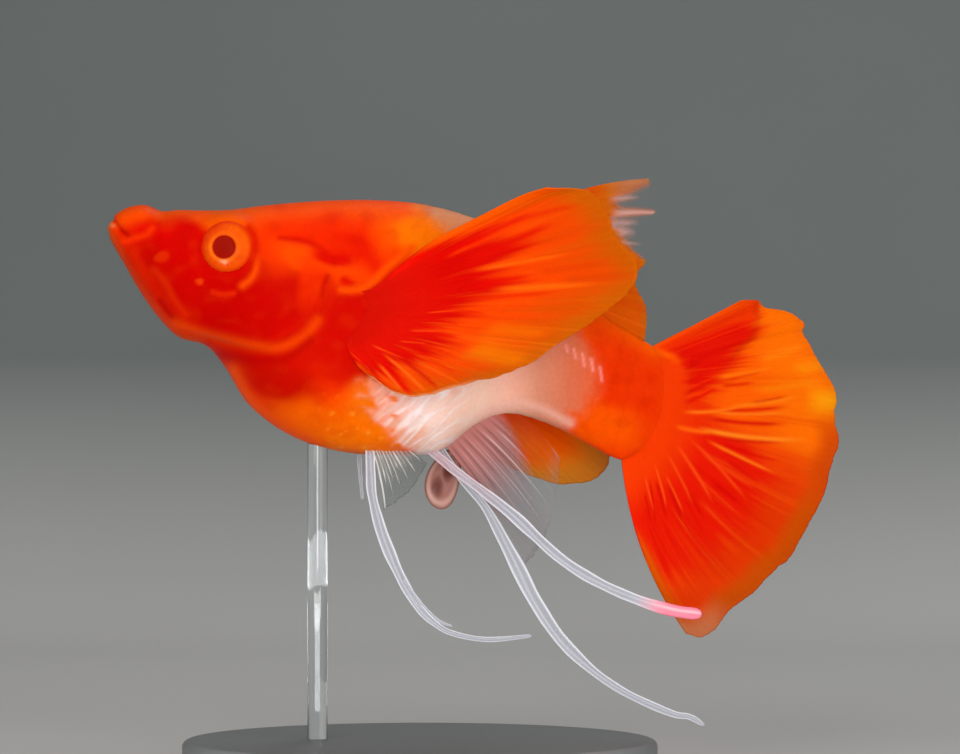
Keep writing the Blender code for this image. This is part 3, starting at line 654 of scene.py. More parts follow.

# %% [markdown]
# ### Colour of the skin
# The colour is laid on as a painter would: an orange ground that is brighter on the back and belly, then
# broad soft patches, then fine lines along the folds, many of them painted shade and painted highlights.
# Each patch is an ellipse in the side view, with its colour and softness. Deep red pigment fills the cheek
# and the shoulder.

# %% Patches of pigment
# name: middle (x, z), half sizes, turn in degrees, hex colour, strength

PATCHES = {
    "upper flank": ((-5.0, 42.7), (8.0, 1.9), -3, "#F02400", 0.9),
    "cheek": ((-16.2, 38.4), (7.4, 4.1), -38, "#C60000", 1.0),
    "snout": ((-19.6, 43.0), (4.0, 1.4), -6, "#DA0000", 1.0),
    "under the lip": ((-21.8, 41.7), (1.4, 1.7), -30, "#C60000", 0.85),
    "before the eye": ((-18.4, 41.6), (1.9, 2.4), 0, "#CC0000", 0.9),
    "gill cover, low": ((-12.0, 37.4), (4.6, 3.0), 20, "#C60000", 0.95),
    "gill cover, upper rear": ((-9.4, 41.6), (2.5, 1.05), -26, "#FA4800", 0.95),
    "gill cover, rear": ((-8.7, 39.4), (1.1, 2.0), -12, "#EC2C00", 0.75),
    "chest": ((-11.6, 32.3), (4.0, 2.4), -35, "#C00400", 0.95),
    "over the chest": ((-8.0, 33.8), (3.8, 2.3), -22, "#D00400", 0.8),
    "shoulder": ((-3.8, 36.0), (5.4, 4.4), 0, "#C80000", 1.0),
    "belly": ((-6.8, 27.9), (4.8, 2.1), -12, "#F26000", 0.95),
    "before the pale belly": ((-3.0, 29.4), (2.8, 1.9), -30, "#F27410", 0.9),
    "belly, low rear": ((-3.6, 26.9), (4.0, 1.5), 0, "#FF7404", 0.95),
    "stalk": ((16.6, 30.6), (3.6, 4.2), 0, "#EC3200", 0.95),
    "stalk, low": ((14.2, 28.3), (3.6, 1.9), -18, "#F65400", 0.9),
    "upper rear flank": ((8.0, 39.2), (6.4, 3.0), -38, "#F85400", 0.9),
    "over the shoulder": ((-5.2, 41.9), (2.4, 1.2), -18, "#DE1000", 0.7),
    "before the ochre": ((-0.8, 43.5), (2.7, 2.3), -10, "#F85800", 0.75),
    "ochre behind the nape": ((0.6, 43.6), (2.4, 1.9), -10, "#FE7A00", 0.85),
    "pale of the back": ((2.9, 44.9), (2.9, 1.2), -17, "#D48A60", 0.95),
    "nose spot": ((-20.7, 41.7), (0.62, 0.42), 20, "#E83408", 0.7),
    "cheek spot": ((-17.8, 39.5), (0.36, 0.28), -20, "#F04410", 0.7),
    "beside the pit": ((-5.6, 40.2), (1.7, 1.1), 0, "#F44000", 0.8),
    "pit over the pectoral": ((-5.8, 39.5), (0.55, 0.36), 0, "#D40000", 0.95),
    "behind the gill slit": ((-6.7, 41.45), (1.8, 0.6), -14, "#DA0000", 0.85),
}


def patch_share(points, middle, sizes, turn, softness=0.45):
    """1 inside a turned ellipse, falling to 0 beyond it."""
    angle = math.radians(turn)
    offset = points - np.array(middle)
    a = (offset[..., 0] * math.cos(angle) + offset[..., 1] * math.sin(angle)) / sizes[0]
    b = (-offset[..., 0] * math.sin(angle) + offset[..., 1] * math.cos(angle)) / sizes[1]
    return smoothstep(1.0 + softness, 1.0 - softness, np.hypot(a, b))


def ripple_noise(points, size, seed):
    """Smooth waves of about the given size in millimetres, from -1 to 1, the same on every run."""
    pick = np.random.default_rng(seed)
    total = np.zeros(points.shape[:-1])
    for _ in range(9):
        way = pick.normal(size=points.shape[-1])
        way /= np.linalg.norm(way)
        wave = size * pick.uniform(0.7, 1.6)
        total += np.sin(points @ way * (2 * math.pi / wave) + pick.uniform(0, 6.3))
    return total / 4.5


def rippled(sizes, seeds):
    """Two ripples over the body, as a shift of the side view that makes the edge of a patch uneven."""
    return np.stack([ripple_noise(body, size, seed) for size, seed in zip(sizes, seeds)], axis=-1)


BELLY_LEVEL, BODY_HEIGHT = 26.0, 20.0
height_share = (seen_z - BELLY_LEVEL) / BODY_HEIGHT
wander = 0.35 + 0.5 * smoothstep(3.5, 1.5, np.abs(body[..., 1])) * smoothstep(0.7, 0.9, height_share)
uneven = side_view + wander[..., None] * rippled((2.6, 2.6), (1, 2))
tint = layered("#F03A02", ("#FA4C00", smoothstep(0.86, 0.98, height_share)))
for middle, sizes, turn, colour, strength in PATCHES.values():
    tint = layered(tint, (colour, strength * patch_share(uneven, middle, sizes, turn)))
blotches = ripple_noise(side_view, 2.2, 12) + 0.5 * ripple_noise(side_view, 1.2, 13)
tint = layered(
    tint,
    ("#FF5A08", 0.05 * smoothstep(0.0, 1.2, blotches)),
    ("#C80200", 0.2 * smoothstep(0.0, -1.2, blotches)))
print(len(PATCHES), "patches, mean colour", tint.mean(axis=(0, 1)).round(3))

# %% [markdown]
# Behind the belly the pigment is missing, so the pale, silvery lining of the gut shows through pink
# flesh. Overlapping patches mark the place, noise makes its edge ragged, and one row of colours from the
# belly to the stalk says how pale it is.

# %% Pale belly and flank
# name: middle (x, z), half sizes, turn in degrees

PALE_PATCHES = {
    "gut": ((1.5, 28.6), (3.9, 2.8), 0),
    "front": ((-2.2, 30.0), (2.9, 2.0), -32),
    "front tip": ((-4.0, 31.2), (0.6, 1.4), 4),
    "vent": ((2.2, 26.4), (2.9, 1.6), 12),
    "over the anal fin": ((6.4, 30.6), (4.4, 2.5), 14),
    "flank": ((11.0, 32.4), (3.4, 3.8), 24),
    "seam": ((9.0, 29.3), (3.4, 1.2), -22),
}
PALE_COLOURS = {  # x and the colour there
    -5.0: "#E87E46", -3.0: "#F49C80", 0.0: "#FADCD3", 3.0: "#FED2BD", 5.0: "#FFD0BA", 7.0: "#FFC0A8",
    9.5: "#DE9276", 12.0: "#DC7656", 14.5: "#EA6440",
}
ragged = side_view + 0.3 * rippled((1.8, 1.6), (3, 4))
pale = np.zeros(body.shape[:2])
for middle, sizes, turn in PALE_PATCHES.values():
    pale = np.maximum(pale, patch_share(ragged, middle, sizes, turn, 0.26))
clouds = ripple_noise(side_view, 1.5, 6) + 0.4 * ripple_noise(side_view, 0.9, 7)
cover = np.interp(seen_x, (-5.6, -4.0, -2.0, 0.0), (0.3, -0.3, -0.9, -2.4))
pale *= smoothstep(cover - 0.5, cover + 0.5, clouds)
ramp = np.array([linear(colour) for colour in PALE_COLOURS.values()])
pale_tint = np.stack([np.interp(seen_x, list(PALE_COLOURS), ramp[:, i]) for i in range(3)], axis=-1)
tint = mixed(tint, pale_tint, pale)
tint = layered(tint, ("#F09C74", 0.7 * pale * patch_share(ragged, (-0.8, 27.7), (1.6, 1.1), -24)))
print("share of the skin that is pale:", pale.mean().round(3))

# %% [markdown]
# The folds are picked out last: painted shade where two plates meet, and painted highlights along the
# rolls that catch the light. A line's colour fades to both sides as the fold's own height does.

# %% Fine lines
# name: line (x, z) in the side view, half width, hex colour, strength


EYE_RING = 2.3  # radius of the dark and the bright line round the eye


def eye_arc(first, last, count):
    """Part of a ring round the eye, between two angles in radians."""
    angles = np.linspace(first, last, count)
    return [(EYE[0] + EYE_RING * math.cos(a), EYE[1] + EYE_RING * math.sin(a)) for a in angles]


LINES = {
    # painted shade in the mouth slit
    "mouth slit": (FOLDS["mouth slit"][0][1:], 0.16, "#C41000", 0.6),
    "lip edge": (((-24.85, 44.3), (-24.9, 43.6), (-24.5, 42.7)), 0.2, "#F08040", 0.7),
    "lip tip": (((-24.7, 44.2), (-24.55, 44.1)), 0.17, "#F09868", 0.6),
    "upper lip": (((-24.1, 45.1), (-23.0, 45.7), (-21.6, 45.8), (-20.8, 45.3)), 0.6, "#E64A02", 0.8),
    # painted shade in the corner of the mouth
    "mouth corner": (((-23.9, 43.7), (-23.4, 43.3)), 0.26, "#C80600", 0.75),
    "corner fold": (((-23.8, 42.8), (-22.9, 43.1), (-21.9, 43.4), (-21.4, 43.9)), 0.3, "#F03004", 0.8),
    "head top": (((-20.6, 45.4), (-18.0, 45.3), (-15.6, 45.1), (-13.2, 45.4)), 0.55, "#F25200", 0.8),
    "chin": (
        ((-24.7, 43.0), (-24.1, 41.5), (-23.2, 39.9), (-22.2, 38.0), (-21.1, 36.5), (-19.6, 35.2),
         (-17.9, 34.6)), 0.55, "#DA4404", 0.9),
    "jaw line": (((-21.3, 40.6), (-20.3, 39.4), (-19.6, 38.1), (-18.7, 37.0)), 0.3, "#E02C04", 0.6),
    # painted shade in the throat slit
    "throat slit": (FOLDS["throat slit"][0], 0.24, "#B80000", 0.85),
    "rim of the gill cover": (
        ((-19.5, 36.3), (-17.6, 35.6), (-15.4, 35.0), (-13.2, 34.5), (-11.3, 34.35), (-9.4, 35.2),
         (-8.2, 36.5)), 0.42, "#EA4204", 0.8),
    # painted shadow below the rim of the gill cover
    "shadow under the gill cover": (
        ((-16.0, 33.8), (-13.4, 33.4), (-10.6, 33.6), (-8.8, 34.9)), 0.4, "#B80000", 0.7),
    # painted shade in the gill slit, on this line and the next
    "gill slit": (((-11.2, 43.2), (-9.4, 43.0), (-7.9, 42.3), (-6.8, 41.1)), 0.24, "#D00800", 0.8),
    "gill slit, rear": (((-7.4, 40.1), (-7.7, 39.3), (-7.85, 38.4)), 0.18, "#BC0000", 0.8),
    "cheek crescent": (((-13.2, 41.7), (-13.15, 40.7), (-13.6, 39.8), (-14.2, 39.3)), 0.3, "#F44A06", 0.9),
    "under the eye": (((-16.6, 38.8), (-15.7, 38.6), (-14.9, 38.7)), 0.2, "#EC2C04", 0.7),
    "fold over the pectoral": (
        ((-6.3, 39.0), (-5.4, 38.95), (-4.6, 39.1), (-3.9, 39.5), (-3.2, 40.2), (-2.5, 40.9), (-1.6, 41.6),
         (-0.6, 42.4)), 0.3, "#FA5000", 0.9),
    # painted shadow round the lower and rear side of the eye socket
    "shadow around the eye": (eye_arc(-2.7, 0.7, 12), 0.34, "#CC0200", 0.8),
    "over the eye": (eye_arc(1.1, 2.2, 6), 0.5, "#F45800", 0.85),
    # the belly's orange, partly painted light on the chest's edge, which turns away from the lamps
    "edge of the chest": (
        ((-15.0, 32.4), (-13.9, 30.3), (-12.2, 28.5), (-10.4, 27.3), (-8.2, 26.5)), 0.6, "#FF5400", 0.75),
    # painted highlight along the seam of the pale flank
    "highlight on the belly seam": (((4.9, 28.9), (7.4, 29.9), (9.6, 29.5), (12.0, 28.3)), 0.4, "#FAC0B0", 0.55),
    # the stalk's orange top edge, partly painted light where the surface turns up and falls into shade
    "top of the stalk": (((11.0, 40.6), (14.0, 38.0), (17.0, 35.8), (19.0, 34.6)), 1.0, "#FF6200", 0.9),
}
for line, half_width, colour, strength in LINES.values():
    tint = layered(tint, (colour, strength * soft_line(side_view, line, half_width)))
print(len(LINES), "fine lines drawn")

# %% [markdown]
# The pale belly is not smooth: its lining is creased like foil, with painted highlights along crease
# lines that lean back and patches of painted shade, and it has orange flecks where the pigment ends.
# Where the pale flank meets the orange stalk, a few scales catch the light, as painted highlights.

# %% Flecks and bright scale edges

SCALE_GLINTS = (
    ((11.7, 34.5), (11.8, 34.0)), ((12.3, 34.25), (12.45, 33.5)), ((13.0, 33.85), (13.15, 32.9)),
    ((13.7, 33.45), (13.85, 32.5)), ((14.4, 32.8), (14.55, 31.7)),
)
LEAN = math.radians(42)
leaning = np.stack([
    (seen_x * math.cos(LEAN) + seen_z * math.sin(LEAN)) * 0.27,  # stretches the noise along the creases
    seen_z * math.cos(LEAN) - seen_x * math.sin(LEAN),
], axis=-1)
# painted highlights along the crease lines of the foil
crease_highlights = 1 - np.abs(ripple_noise(leaning, 1.2, 5) + 0.5 * ripple_noise(leaning, 0.8, 15))
# patches of painted shade on the foil
shade = smoothstep(0.1, 1.0, ripple_noise(leaning, 1.0, 8))
foil = pale * smoothstep(5.0, 1.5, seen_x)
speck = smoothstep(0.5, 1.0, ripple_noise(side_view, 0.9, 9)) * smoothstep(-1.0, -4.0, seen_x)
low_belly = smoothstep(31.5, 29.5, seen_z) * smoothstep(-9.0, -6.0, seen_x)
tint = layered(
    tint,
    ("#FFFAFC", 0.65 * smoothstep(0.6, 1.0, crease_highlights) * foil * smoothstep(-4.5, -1.0, seen_x)),
    ("#E8A088", 0.5 * shade * foil * smoothstep(2.0, -3.0, seen_x)),
    ("#E8C0B4", 0.35 * shade * foil),
    ("#FFA038", 0.6 * speck * low_belly * (1 - pale)))
# painted highlights on a few scale edges
for stroke in SCALE_GLINTS:
    tint = layered(tint, ("#FF9C90", 0.8 * soft_line(side_view, stroke, 0.12)))
tint = layered(tint, ("#B81400", 0.06 * scale_edge * scaled * (1 - pale)))
paint(skin, tint[skin_row, skin_column])
weld(skin)
print("welded skin:", len(skin.data.vertices), "points")

# %% [markdown]
# Live skin is mucus over pigment over flesh: light enters, turns red inside and comes out soft. So the
# skin gets some subsurface scattering with red reaching furthest, and a middling roughness for the mucus.
# Its shine is weak and tinted orange, since most of it comes from within the pigment. Fine pigment
# grains, about a tenth of a millimetre across on the real fish and drawn at 0.3 mm so that they show,
# vary its colour and its shine.

# %% Skin material

GRAIN = 0.3  # millimetres


def grained_pigment(tree, size, detail, shade):
    """The colour stored on a piece, darkened by grains of about size (millimetres). Returns the node of that
    colour, the node of the grain and the node of the place."""
    pigment = node(tree, "ShaderNodeAttribute", attribute_name="Tint")
    place = node(tree, "ShaderNodeTexCoord")
    grain = node(tree, "ShaderNodeTexNoise", {"Scale": 1 / (size * MM), "Detail": detail},
                 {"Vector": (place, "Object")})
    darker = node(tree, "ShaderNodeHueSaturation", shade, {"Color": (pigment, "Color")})
    grained = node(tree, "ShaderNodeMix", {}, {"Factor": (grain, "Fac"), "A": (pigment, "Color"),
                                               "B": (darker, "Color")}, data_type="RGBA")
    return grained, grain, place


skin_paint, tree, shader = new_material("moist guppy skin", {
    "Subsurface Weight": 0.2, "Subsurface Radius": (1.0, 0.25, 0.12), "Subsurface Scale": 0.8 * MM,
    "Specular IOR Level": 0.08, "Specular Tint": rgba("#FF8C50")})
grained, grain, place = grained_pigment(tree, GRAIN, 3.0, {"Value": 0.86, "Saturation": 1.05})
shine = node(tree, "ShaderNodeMapRange", {"To Min": 0.36, "To Max": 0.52}, {"Value": (grain, "Fac")})
fine = node(tree, "ShaderNodeTexNoise", {"Scale": 0.6 / (GRAIN * MM), "Detail": 2.0},
            {"Vector": (place, "Object")})
bump = node(tree, "ShaderNodeBump", {"Strength": 0.12, "Distance": 0.02 * MM}, {"Height": (fine, "Fac")})
feed(tree, shader, {"Base Color": (grained, "Result"), "Roughness": (shine, "Result"),
                    "Normal": (bump, "Normal")})
finish_piece(skin, skin_paint, "skin_orange", "head", "jaw_lower", "gill_cover_left", "gill_cover_right",
             "trunk", "tail_stalk")

# %% [markdown]
# ## The eyes
# An albino guppy's eye is a wide orange iris round a dark red pupil, because blood colours what pigment
# would hide. The eye is turned like a bowl on a lathe: one profile from the rim to the pupil's middle,
# spun round the eye's axis. The pupil is a pit in the iris, and a clear cornea closes over both.

# %% Spin a profile round the eye's axis

EYE_SEGMENTS = 96
PUPIL = 0.92  # radius, at which the iris begins
PUPIL_SHIFT = np.array((-0.21, -0.06))  # the pupil sits ahead of the middle
IRIS_PROFILE = (
    (2.25, 3.2), (2.22, 3.5), (2.14, 3.82), (2.02, 4.04), (1.85, 4.2), (1.6, 4.3), (1.3, 4.33), (1.1, 4.31),
    (1.0, 4.29), (PUPIL, 4.25), (0.86, 4.2), (0.6, 4.2), (0.3, 4.21), (0.0, 4.21),
)
CORNEA_PROFILE = (
    (2.12, 3.85), (2.03, 4.08), (1.85, 4.27), (1.5, 4.48), (1.1, 4.62), (0.7, 4.71), (0.35, 4.76),
    (0.0, 4.77),
)


def spun(name, profile, side, fine=4):
    """Spins a profile of (radius, distance from the mid plane) round the axis of the left or right eye."""
    curve = even_curve(profile, (len(profile) - 1) * fine + 1)
    deselect()
    bpy.ops.mesh.primitive_circle_add(vertices=3, radius=1)
    piece = bpy.context.object
    piece.name = name
    edit_all(piece)
    bpy.ops.mesh.delete(type="VERT")
    bpy.ops.object.mode_set(mode="OBJECT")
    piece.data.from_pydata(
        [((EYE_AXIS[0] + r) * MM, side * y * MM, EYE_AXIS[1] * MM) for r, y in curve],
        [(k, k + 1) for k in range(len(curve) - 1)], [])
    edit_all(piece)
    bpy.ops.mesh.spin(steps=EYE_SEGMENTS, angle=2 * math.pi, center=(EYE_AXIS[0] * MM, 0, EYE_AXIS[1] * MM),
                      axis=(0, 1, 0))
    bpy.ops.object.mode_set(mode="OBJECT")
    weld(piece)
    points = point_array(piece)
    points[:, 1] += side * ((points[:, [0, 2]] - EYE_AXIS) @ EYE_LEAN)
    put_points(piece, points)
    return piece


def shift_pupil(piece):
    """Moves the middle of a spun piece off its axis, and leaves its rim."""
    points = point_array(piece)
    away = np.linalg.norm(points[:, [0, 2]] - EYE_AXIS, axis=1)
    points[:, [0, 2]] += PUPIL_SHIFT * smoothstep(1.95, 1.0, away)[:, None]
    put_points(piece, points)


print("an eye is spun in", EYE_SEGMENTS, "steps from", len(IRIS_PROFILE), "places")

# %% [markdown]
# The iris is orange with fine spokes, a bright line just outside the pupil, a dark ring at its rim and a
# painted glint below the pupil.
# The colours follow the distance from the eye's axis and the angle round it.

# %% Colours of the iris


def iris_tint(points):
    """Colours by the distance r from the eye's axis and the angle round it, where 0 is towards the tail."""
    offset = points[:, [0, 2]] - EYE_AXIS
    r = np.linalg.norm(offset, axis=1)
    angle = np.arctan2(offset[:, 1], offset[:, 0])
    spokes = 0.5 + 0.5 * np.sin(angle * 37 + 2.0 * np.sin(angle * 5)) * np.sin(angle * 23)
    upper_front = smoothstep(0.3, 0.95, np.cos(angle - 2.45))
    upper_rear = smoothstep(0.3, 0.95, np.cos(angle - 0.6))
    low_front = smoothstep(-0.3, 0.7, np.cos(angle + 2.2))
    glint = np.exp(-(offset[:, 0] / (0.08 + 0.22 * smoothstep(-1.55, -1.1, offset[:, 1]))) ** 2)
    return layered(
        "#E44400",
        ("#E02600", 0.75 * upper_front * smoothstep(1.0, 1.6, r)),
        ("#F65800", 0.6 * upper_rear * smoothstep(1.9, 1.6, r)),
        ("#FF7410", 0.3 * spokes * smoothstep(1.0, 1.3, r) * smoothstep(2.0, 1.6, r)),
        ("#FF7C14", (0.3 + 0.4 * low_front) * np.exp(-((r - 1.1) / 0.16) ** 2)),
        # painted glint below the pupil
        ("#FFA47C", 0.95 * glint * np.exp(-((offset[:, 1] + 1.22) / 0.2) ** 2)),
        ("#E43600", smoothstep(1.7, 2.05, r) * (1 - 0.6 * low_front)),
        ("#9A0000", smoothstep(PUPIL + 0.02, PUPIL - 0.03, r)),
        ("#8A0000", smoothstep(0.8, 0.2, r) * 0.4))


print("the iris is coloured from", PUPIL, "mm to", IRIS_PROFILE[0][0], "mm")

# %% [markdown]
# The iris is soft tissue under fluid, so it is satin, with a little scattering. The cornea is clear and
# wet: real tissue bends light like water, and its gloss is what makes an eye look alive. It is a thin
# film here, mostly see-through with a sharp shine, because a fully refracting lens would be slow and
# noisy.

# %% Eye materials

iris_paint, tree, shader = new_material("orange iris", {
    "Roughness": 0.4, "Specular IOR Level": 0.2, "Specular Tint": rgba("#FF8C50"),
    "Subsurface Weight": 0.1, "Subsurface Scale": 0.4 * MM})
grained, _, _ = grained_pigment(tree, 0.25, 2.0, {"Value": 0.88})
feed(tree, shader, {"Base Color": (grained, "Result")})

cornea_film, tree, shader = new_material("clear cornea", {
    "Base Color": rgba("#8A2400"), "Alpha": 0.03, "Specular IOR Level": 0.4, "IOR": 1.38})
place = node(tree, "ShaderNodeTexCoord")
film = node(tree, "ShaderNodeTexNoise", {"Scale": 1 / (0.8 * MM)}, {"Vector": (place, "Object")})
wet = node(tree, "ShaderNodeMapRange", {"To Min": 0.1, "To Max": 0.16}, {"Value": (film, "Fac")})
feed(tree, shader, {"Roughness": (wet, "Result")})
print("made", iris_paint.name, "and", cornea_film.name)

# %% [markdown]
# Both eyes come from one profile. The right one is spun on the other side of the mid plane, so each keeps
# its own mesh.

# %% Both eyes

for side, word in ((-1, "left"), (1, "right")):
    iris = spun("iris_" + word, IRIS_PROFILE, side, 5)
    paint(iris, iris_tint(point_array(iris)))
    shift_pupil(iris)
    finish_piece(iris, iris_paint, "eye", "eye_" + word)
    cornea = spun("cornea_" + word, CORNEA_PROFILE, side)
    shift_pupil(cornea)
    finish_piece(cornea, cornea_film, "eye")

# %% [markdown]
# ## The fins
# A guppy's fin is a clear skin stretched over rays, and each ray splits into finer and finer branches
# towards the margin. So the first helpers say how high the rays stand at each place on a fin, and how its
# colour changes from streak to streak. u runs from the first ray to the last, and v from the root to the
# margin.

# %% Rays and streaks


def spaced(u, values):
    """Values that are spread evenly from u = 0 to u = 1, read at u."""
    return np.interp(u, np.linspace(0, 1, len(values)), values)


RIDGE_WIDTH = 0.13  # half width of a ray at its root, as a share of the way to the next ray


def ray_ridges(u, v, rays, seed, forks=2):
    """Height from 0 to 1 of the rays at u across and v along a fin. Each ray forks at about a third of its
    length and, with two forks, again at two thirds."""
    pick = np.random.default_rng(seed)
    fork = pick.uniform(0.26, 0.4, rays)
    fork_again = pick.uniform(0.55, 0.72, rays)
    at = u * (rays - 1)
    ray = np.clip(np.rint(at), 0, rays - 1).astype(int)
    parted = 0.25 * smoothstep(fork[ray] - 0.05, fork[ray] + 0.3, v)
    parted_again = 0.125 * smoothstep(fork_again[ray] - 0.05, fork_again[ray] + 0.2, v) * (forks > 1)
    total = np.zeros(u.shape)
    for first in (-1, 1):
        for second in (-1, 1):
            branch = first * parted + second * parted_again
            total = np.maximum(total, np.exp(-((at - ray - branch) / (RIDGE_WIDTH - 0.05 * v)) ** 2))
    return total


def streaks(u, count, seed):
    """A value from -1 to 1 that changes quickly across a fin, for streaks along its rays."""
    pick = np.random.default_rng(seed)
    coarse = spaced(u, pick.uniform(-1, 1, count))
    fine = spaced(u, pick.uniform(-1, 1, count * 4))
    return 0.6 * coarse + 0.4 * fine


print("streaks at five places:", streaks(np.linspace(0, 1, 5), 8, 1).round(2))

# %% [markdown]
# A fin is a sheet laid between its root and its margin. Its rays may be bowed, its margin is ragged, and
# each ray raises a narrow ridge that forks, with a soft pleat between neighbours.

# %% A fin between its root and its margin

COLUMNS_PER_RAY = 14


def fin_grid(root, margin, rays, rows, bend, ripple, waves, seed, forks=2, ragged=0.025, ridge=0.035,
             pleat=0.0, lift=1.0):
    """Places, u, v and ray height for a fin. bend(u, v) bows the rays in the fin's own plane, lift makes the
    fin leave the body at a flatter angle, and ragged says how uneven its margin is from ray to ray."""
    columns = (rays - 1) * COLUMNS_PER_RAY + 1
    start, end = even_curve(root, columns), even_curve(margin, columns)
    u = np.broadcast_to(np.linspace(0, 1, columns), (rows + 1, columns))
    v = np.broadcast_to(np.linspace(0, 1, rows + 1)[:, None], u.shape)
    tip = ray_ridges(u, np.ones(u.shape), rays, seed, forks)
    wander = 0.5 + 0.5 * streaks(u, rays, seed)
    ragged = spaced(u, np.atleast_1d(ragged))
    reach = v * (1 - ragged * (0.07 * (1 - tip) + 0.93 * wander) * v ** 4)
    along = np.broadcast_to(end - start, (*u.shape, 3))
    sideways = np.stack([-along[..., 2], 0 * along[..., 0], along[..., 0]], axis=-1)
    sideways = sideways / np.linalg.norm(sideways, axis=-1, keepdims=True)
    places = start + along * reach[..., None] + sideways * bend(u, reach)[..., None]
    places[..., 1] += along[..., 1] * (reach ** lift - reach)
    places[..., 1] += ripple * reach ** 1.5 * np.sin(2 * math.pi * waves * u)
    rays_up = ray_ridges(u, v, rays, seed, forks)
    fold = np.sin(math.pi * u * (rays - 1)) * smoothstep(0.15, 0.45, v) * smoothstep(1.0, 0.75, v)
    normal = np.cross(np.gradient(places, axis=0), np.gradient(places, axis=1))
    normal /= np.maximum(np.linalg.norm(normal, axis=-1, keepdims=True), 1e-9)
    normal *= -np.sign(normal[..., 1].mean())
    raised = ridge * rays_up * smoothstep(0.12, 0.35, v) + pleat * fold
    return places + normal * raised[..., None], u, v, rays_up


def simple_bend(first, last):
    """A bow of so many millimetres in the first and in the last ray, blended between them."""
    return lambda u, v: (first * (1 - u) + last * u) * 4 * v * (1 - v)


print("a fin sheet has", COLUMNS_PER_RAY, "columns from ray to ray")

# %% [markdown]
# Where a fin grows out of the body its skin runs on into the body's. A pectoral's root is laid along the
# flank and comes out of it slowly. The root of the tail fan closes over the stalk like a sleeve. Both
# look up how far out the skin lies by casting a ray at it from the side.

# %% Roots laid on the skin

OUTSIDE = 20.0  # millimetres from the mid plane, well clear of the skin
ROOT_DEPTH = 0.55  # how deep under the skin a pectoral starts
ROOT_RISE = 2.6  # how far it would rise out of the skin over its whole length


def skin_at(x, z, side):
    """How far out the skin lies on one side, in millimetres, or None where there is no skin."""
    met, spot, _, _ = skin.ray_cast((x * MM, side * OUTSIDE * MM, z * MM), (0, -side, 0))
    return spot.y / MM if met else None


def hugging(places, v, side):
    """Lays the first part of a fin along the skin: buried at its root and just proud of it further out."""
    laid = places.copy()
    for i in np.flatnonzero(v[:, 0] < 0.5):
        for j, (x, y, z) in enumerate(places[i]):
            surface = skin_at(x, z, side)
            if surface is not None:
                lying = surface - side * (ROOT_DEPTH - ROOT_RISE * v[i, j])
                laid[i, j, 1] = lying + (y - lying) * smoothstep(0.12, 0.5, v[i, j])
    return laid


def spread(values, known, steps=300):
    """Lets values fade out smoothly from where they are known, like a soap film pinned to nothing beyond."""
    for _ in range(steps):
        padded = np.pad(values, 1, mode="edge")
        around_it = (padded[2:, 1:-1] + padded[:-2, 1:-1] + padded[1:-1, 2:] + padded[1:-1, :-2]) / 4
        values = np.where(known, values, around_it * 0.996)
    return values


def sleeve(places, v):
    """Lays the root of the tail fin over the stalk, and gives the half thickness it needs there: it starts
    just inside the skin and comes out of it at so flat an angle that hardly a line shows."""
    shift, half, known = np.zeros(v.shape), np.zeros(v.shape), np.zeros(v.shape, dtype=bool)
    for i in np.flatnonzero(v[:, 0] < 0.35):
        for j, (x, y, z) in enumerate(places[i]):
            near, far = skin_at(x, z, -1), skin_at(x, z, 1)
            if near is not None and far is not None:
                known[i, j] = True
                shift[i, j] = (near + far) / 2 - y
                half[i, j] = (far - near) / 2 + 0.04 - 0.1 * smoothstep(0.09, 0.0, v[i, j])
    laid = places.copy()
    laid[..., 1] += spread(shift, known)
    return laid, spread(half, known)


print("skin lies at", np.round(skin_at(0.0, 34.0, -1), 2), "mm on the left and",
      np.round(skin_at(0.0, 34.0, 1), 2), "mm on the right")

# %% [markdown]
# Solidify gives each sheet its thickness from a vertex group: fleshy at the root and thinner than paper
# at the edge.

# %% Thickness of a fin

EDGE_THICKNESS = 0.05  # at the margin, in millimetres


def thinning(v, root=0.9, quickness=4.5):
    """Thickness of a fin in millimetres, from its root to its edge."""
    return EDGE_THICKNESS + (root - EDGE_THICKNESS) * np.exp(-quickness * v)


def fin_piece(name, places, thickness, tint, solidity, material, slot, solid):
    """The sheet with its colours, thickened and finished. It stands for one solid."""
    piece, row, column = grid_piece(name, places)
    paint(piece, tint[row, column], solidity[row, column])
    group = piece.vertex_groups.new(name="thickness")
    for index, weight in enumerate(thickness[row, column] / thickness.max()):
        group.add([index], float(weight), "REPLACE")
    wall = piece.modifiers.new("wall", "SOLIDIFY")
    wall.thickness = float(thickness.max()) * MM
    wall.offset = 0.0
    wall.vertex_group = "thickness"
    apply_modifiers(piece)
    finish_piece(piece, material, slot, solid)


print("thickness half way out:", thinning(0.5).round(3), "mm")

# %% [markdown]
# ### Colour of the red fins
# Red pigment is thick at the root, and runs out along the rays in streaks of unequal length. Beyond it
# the membrane is orange, and the last millimetres are a thin, see-through ochre. So the colour at a point
# depends on how far out it lies compared with how far the red reaches on its own ray. Then single streaks
# are drawn, each from one place on the fin to another.

# %% Streaks of red over orange


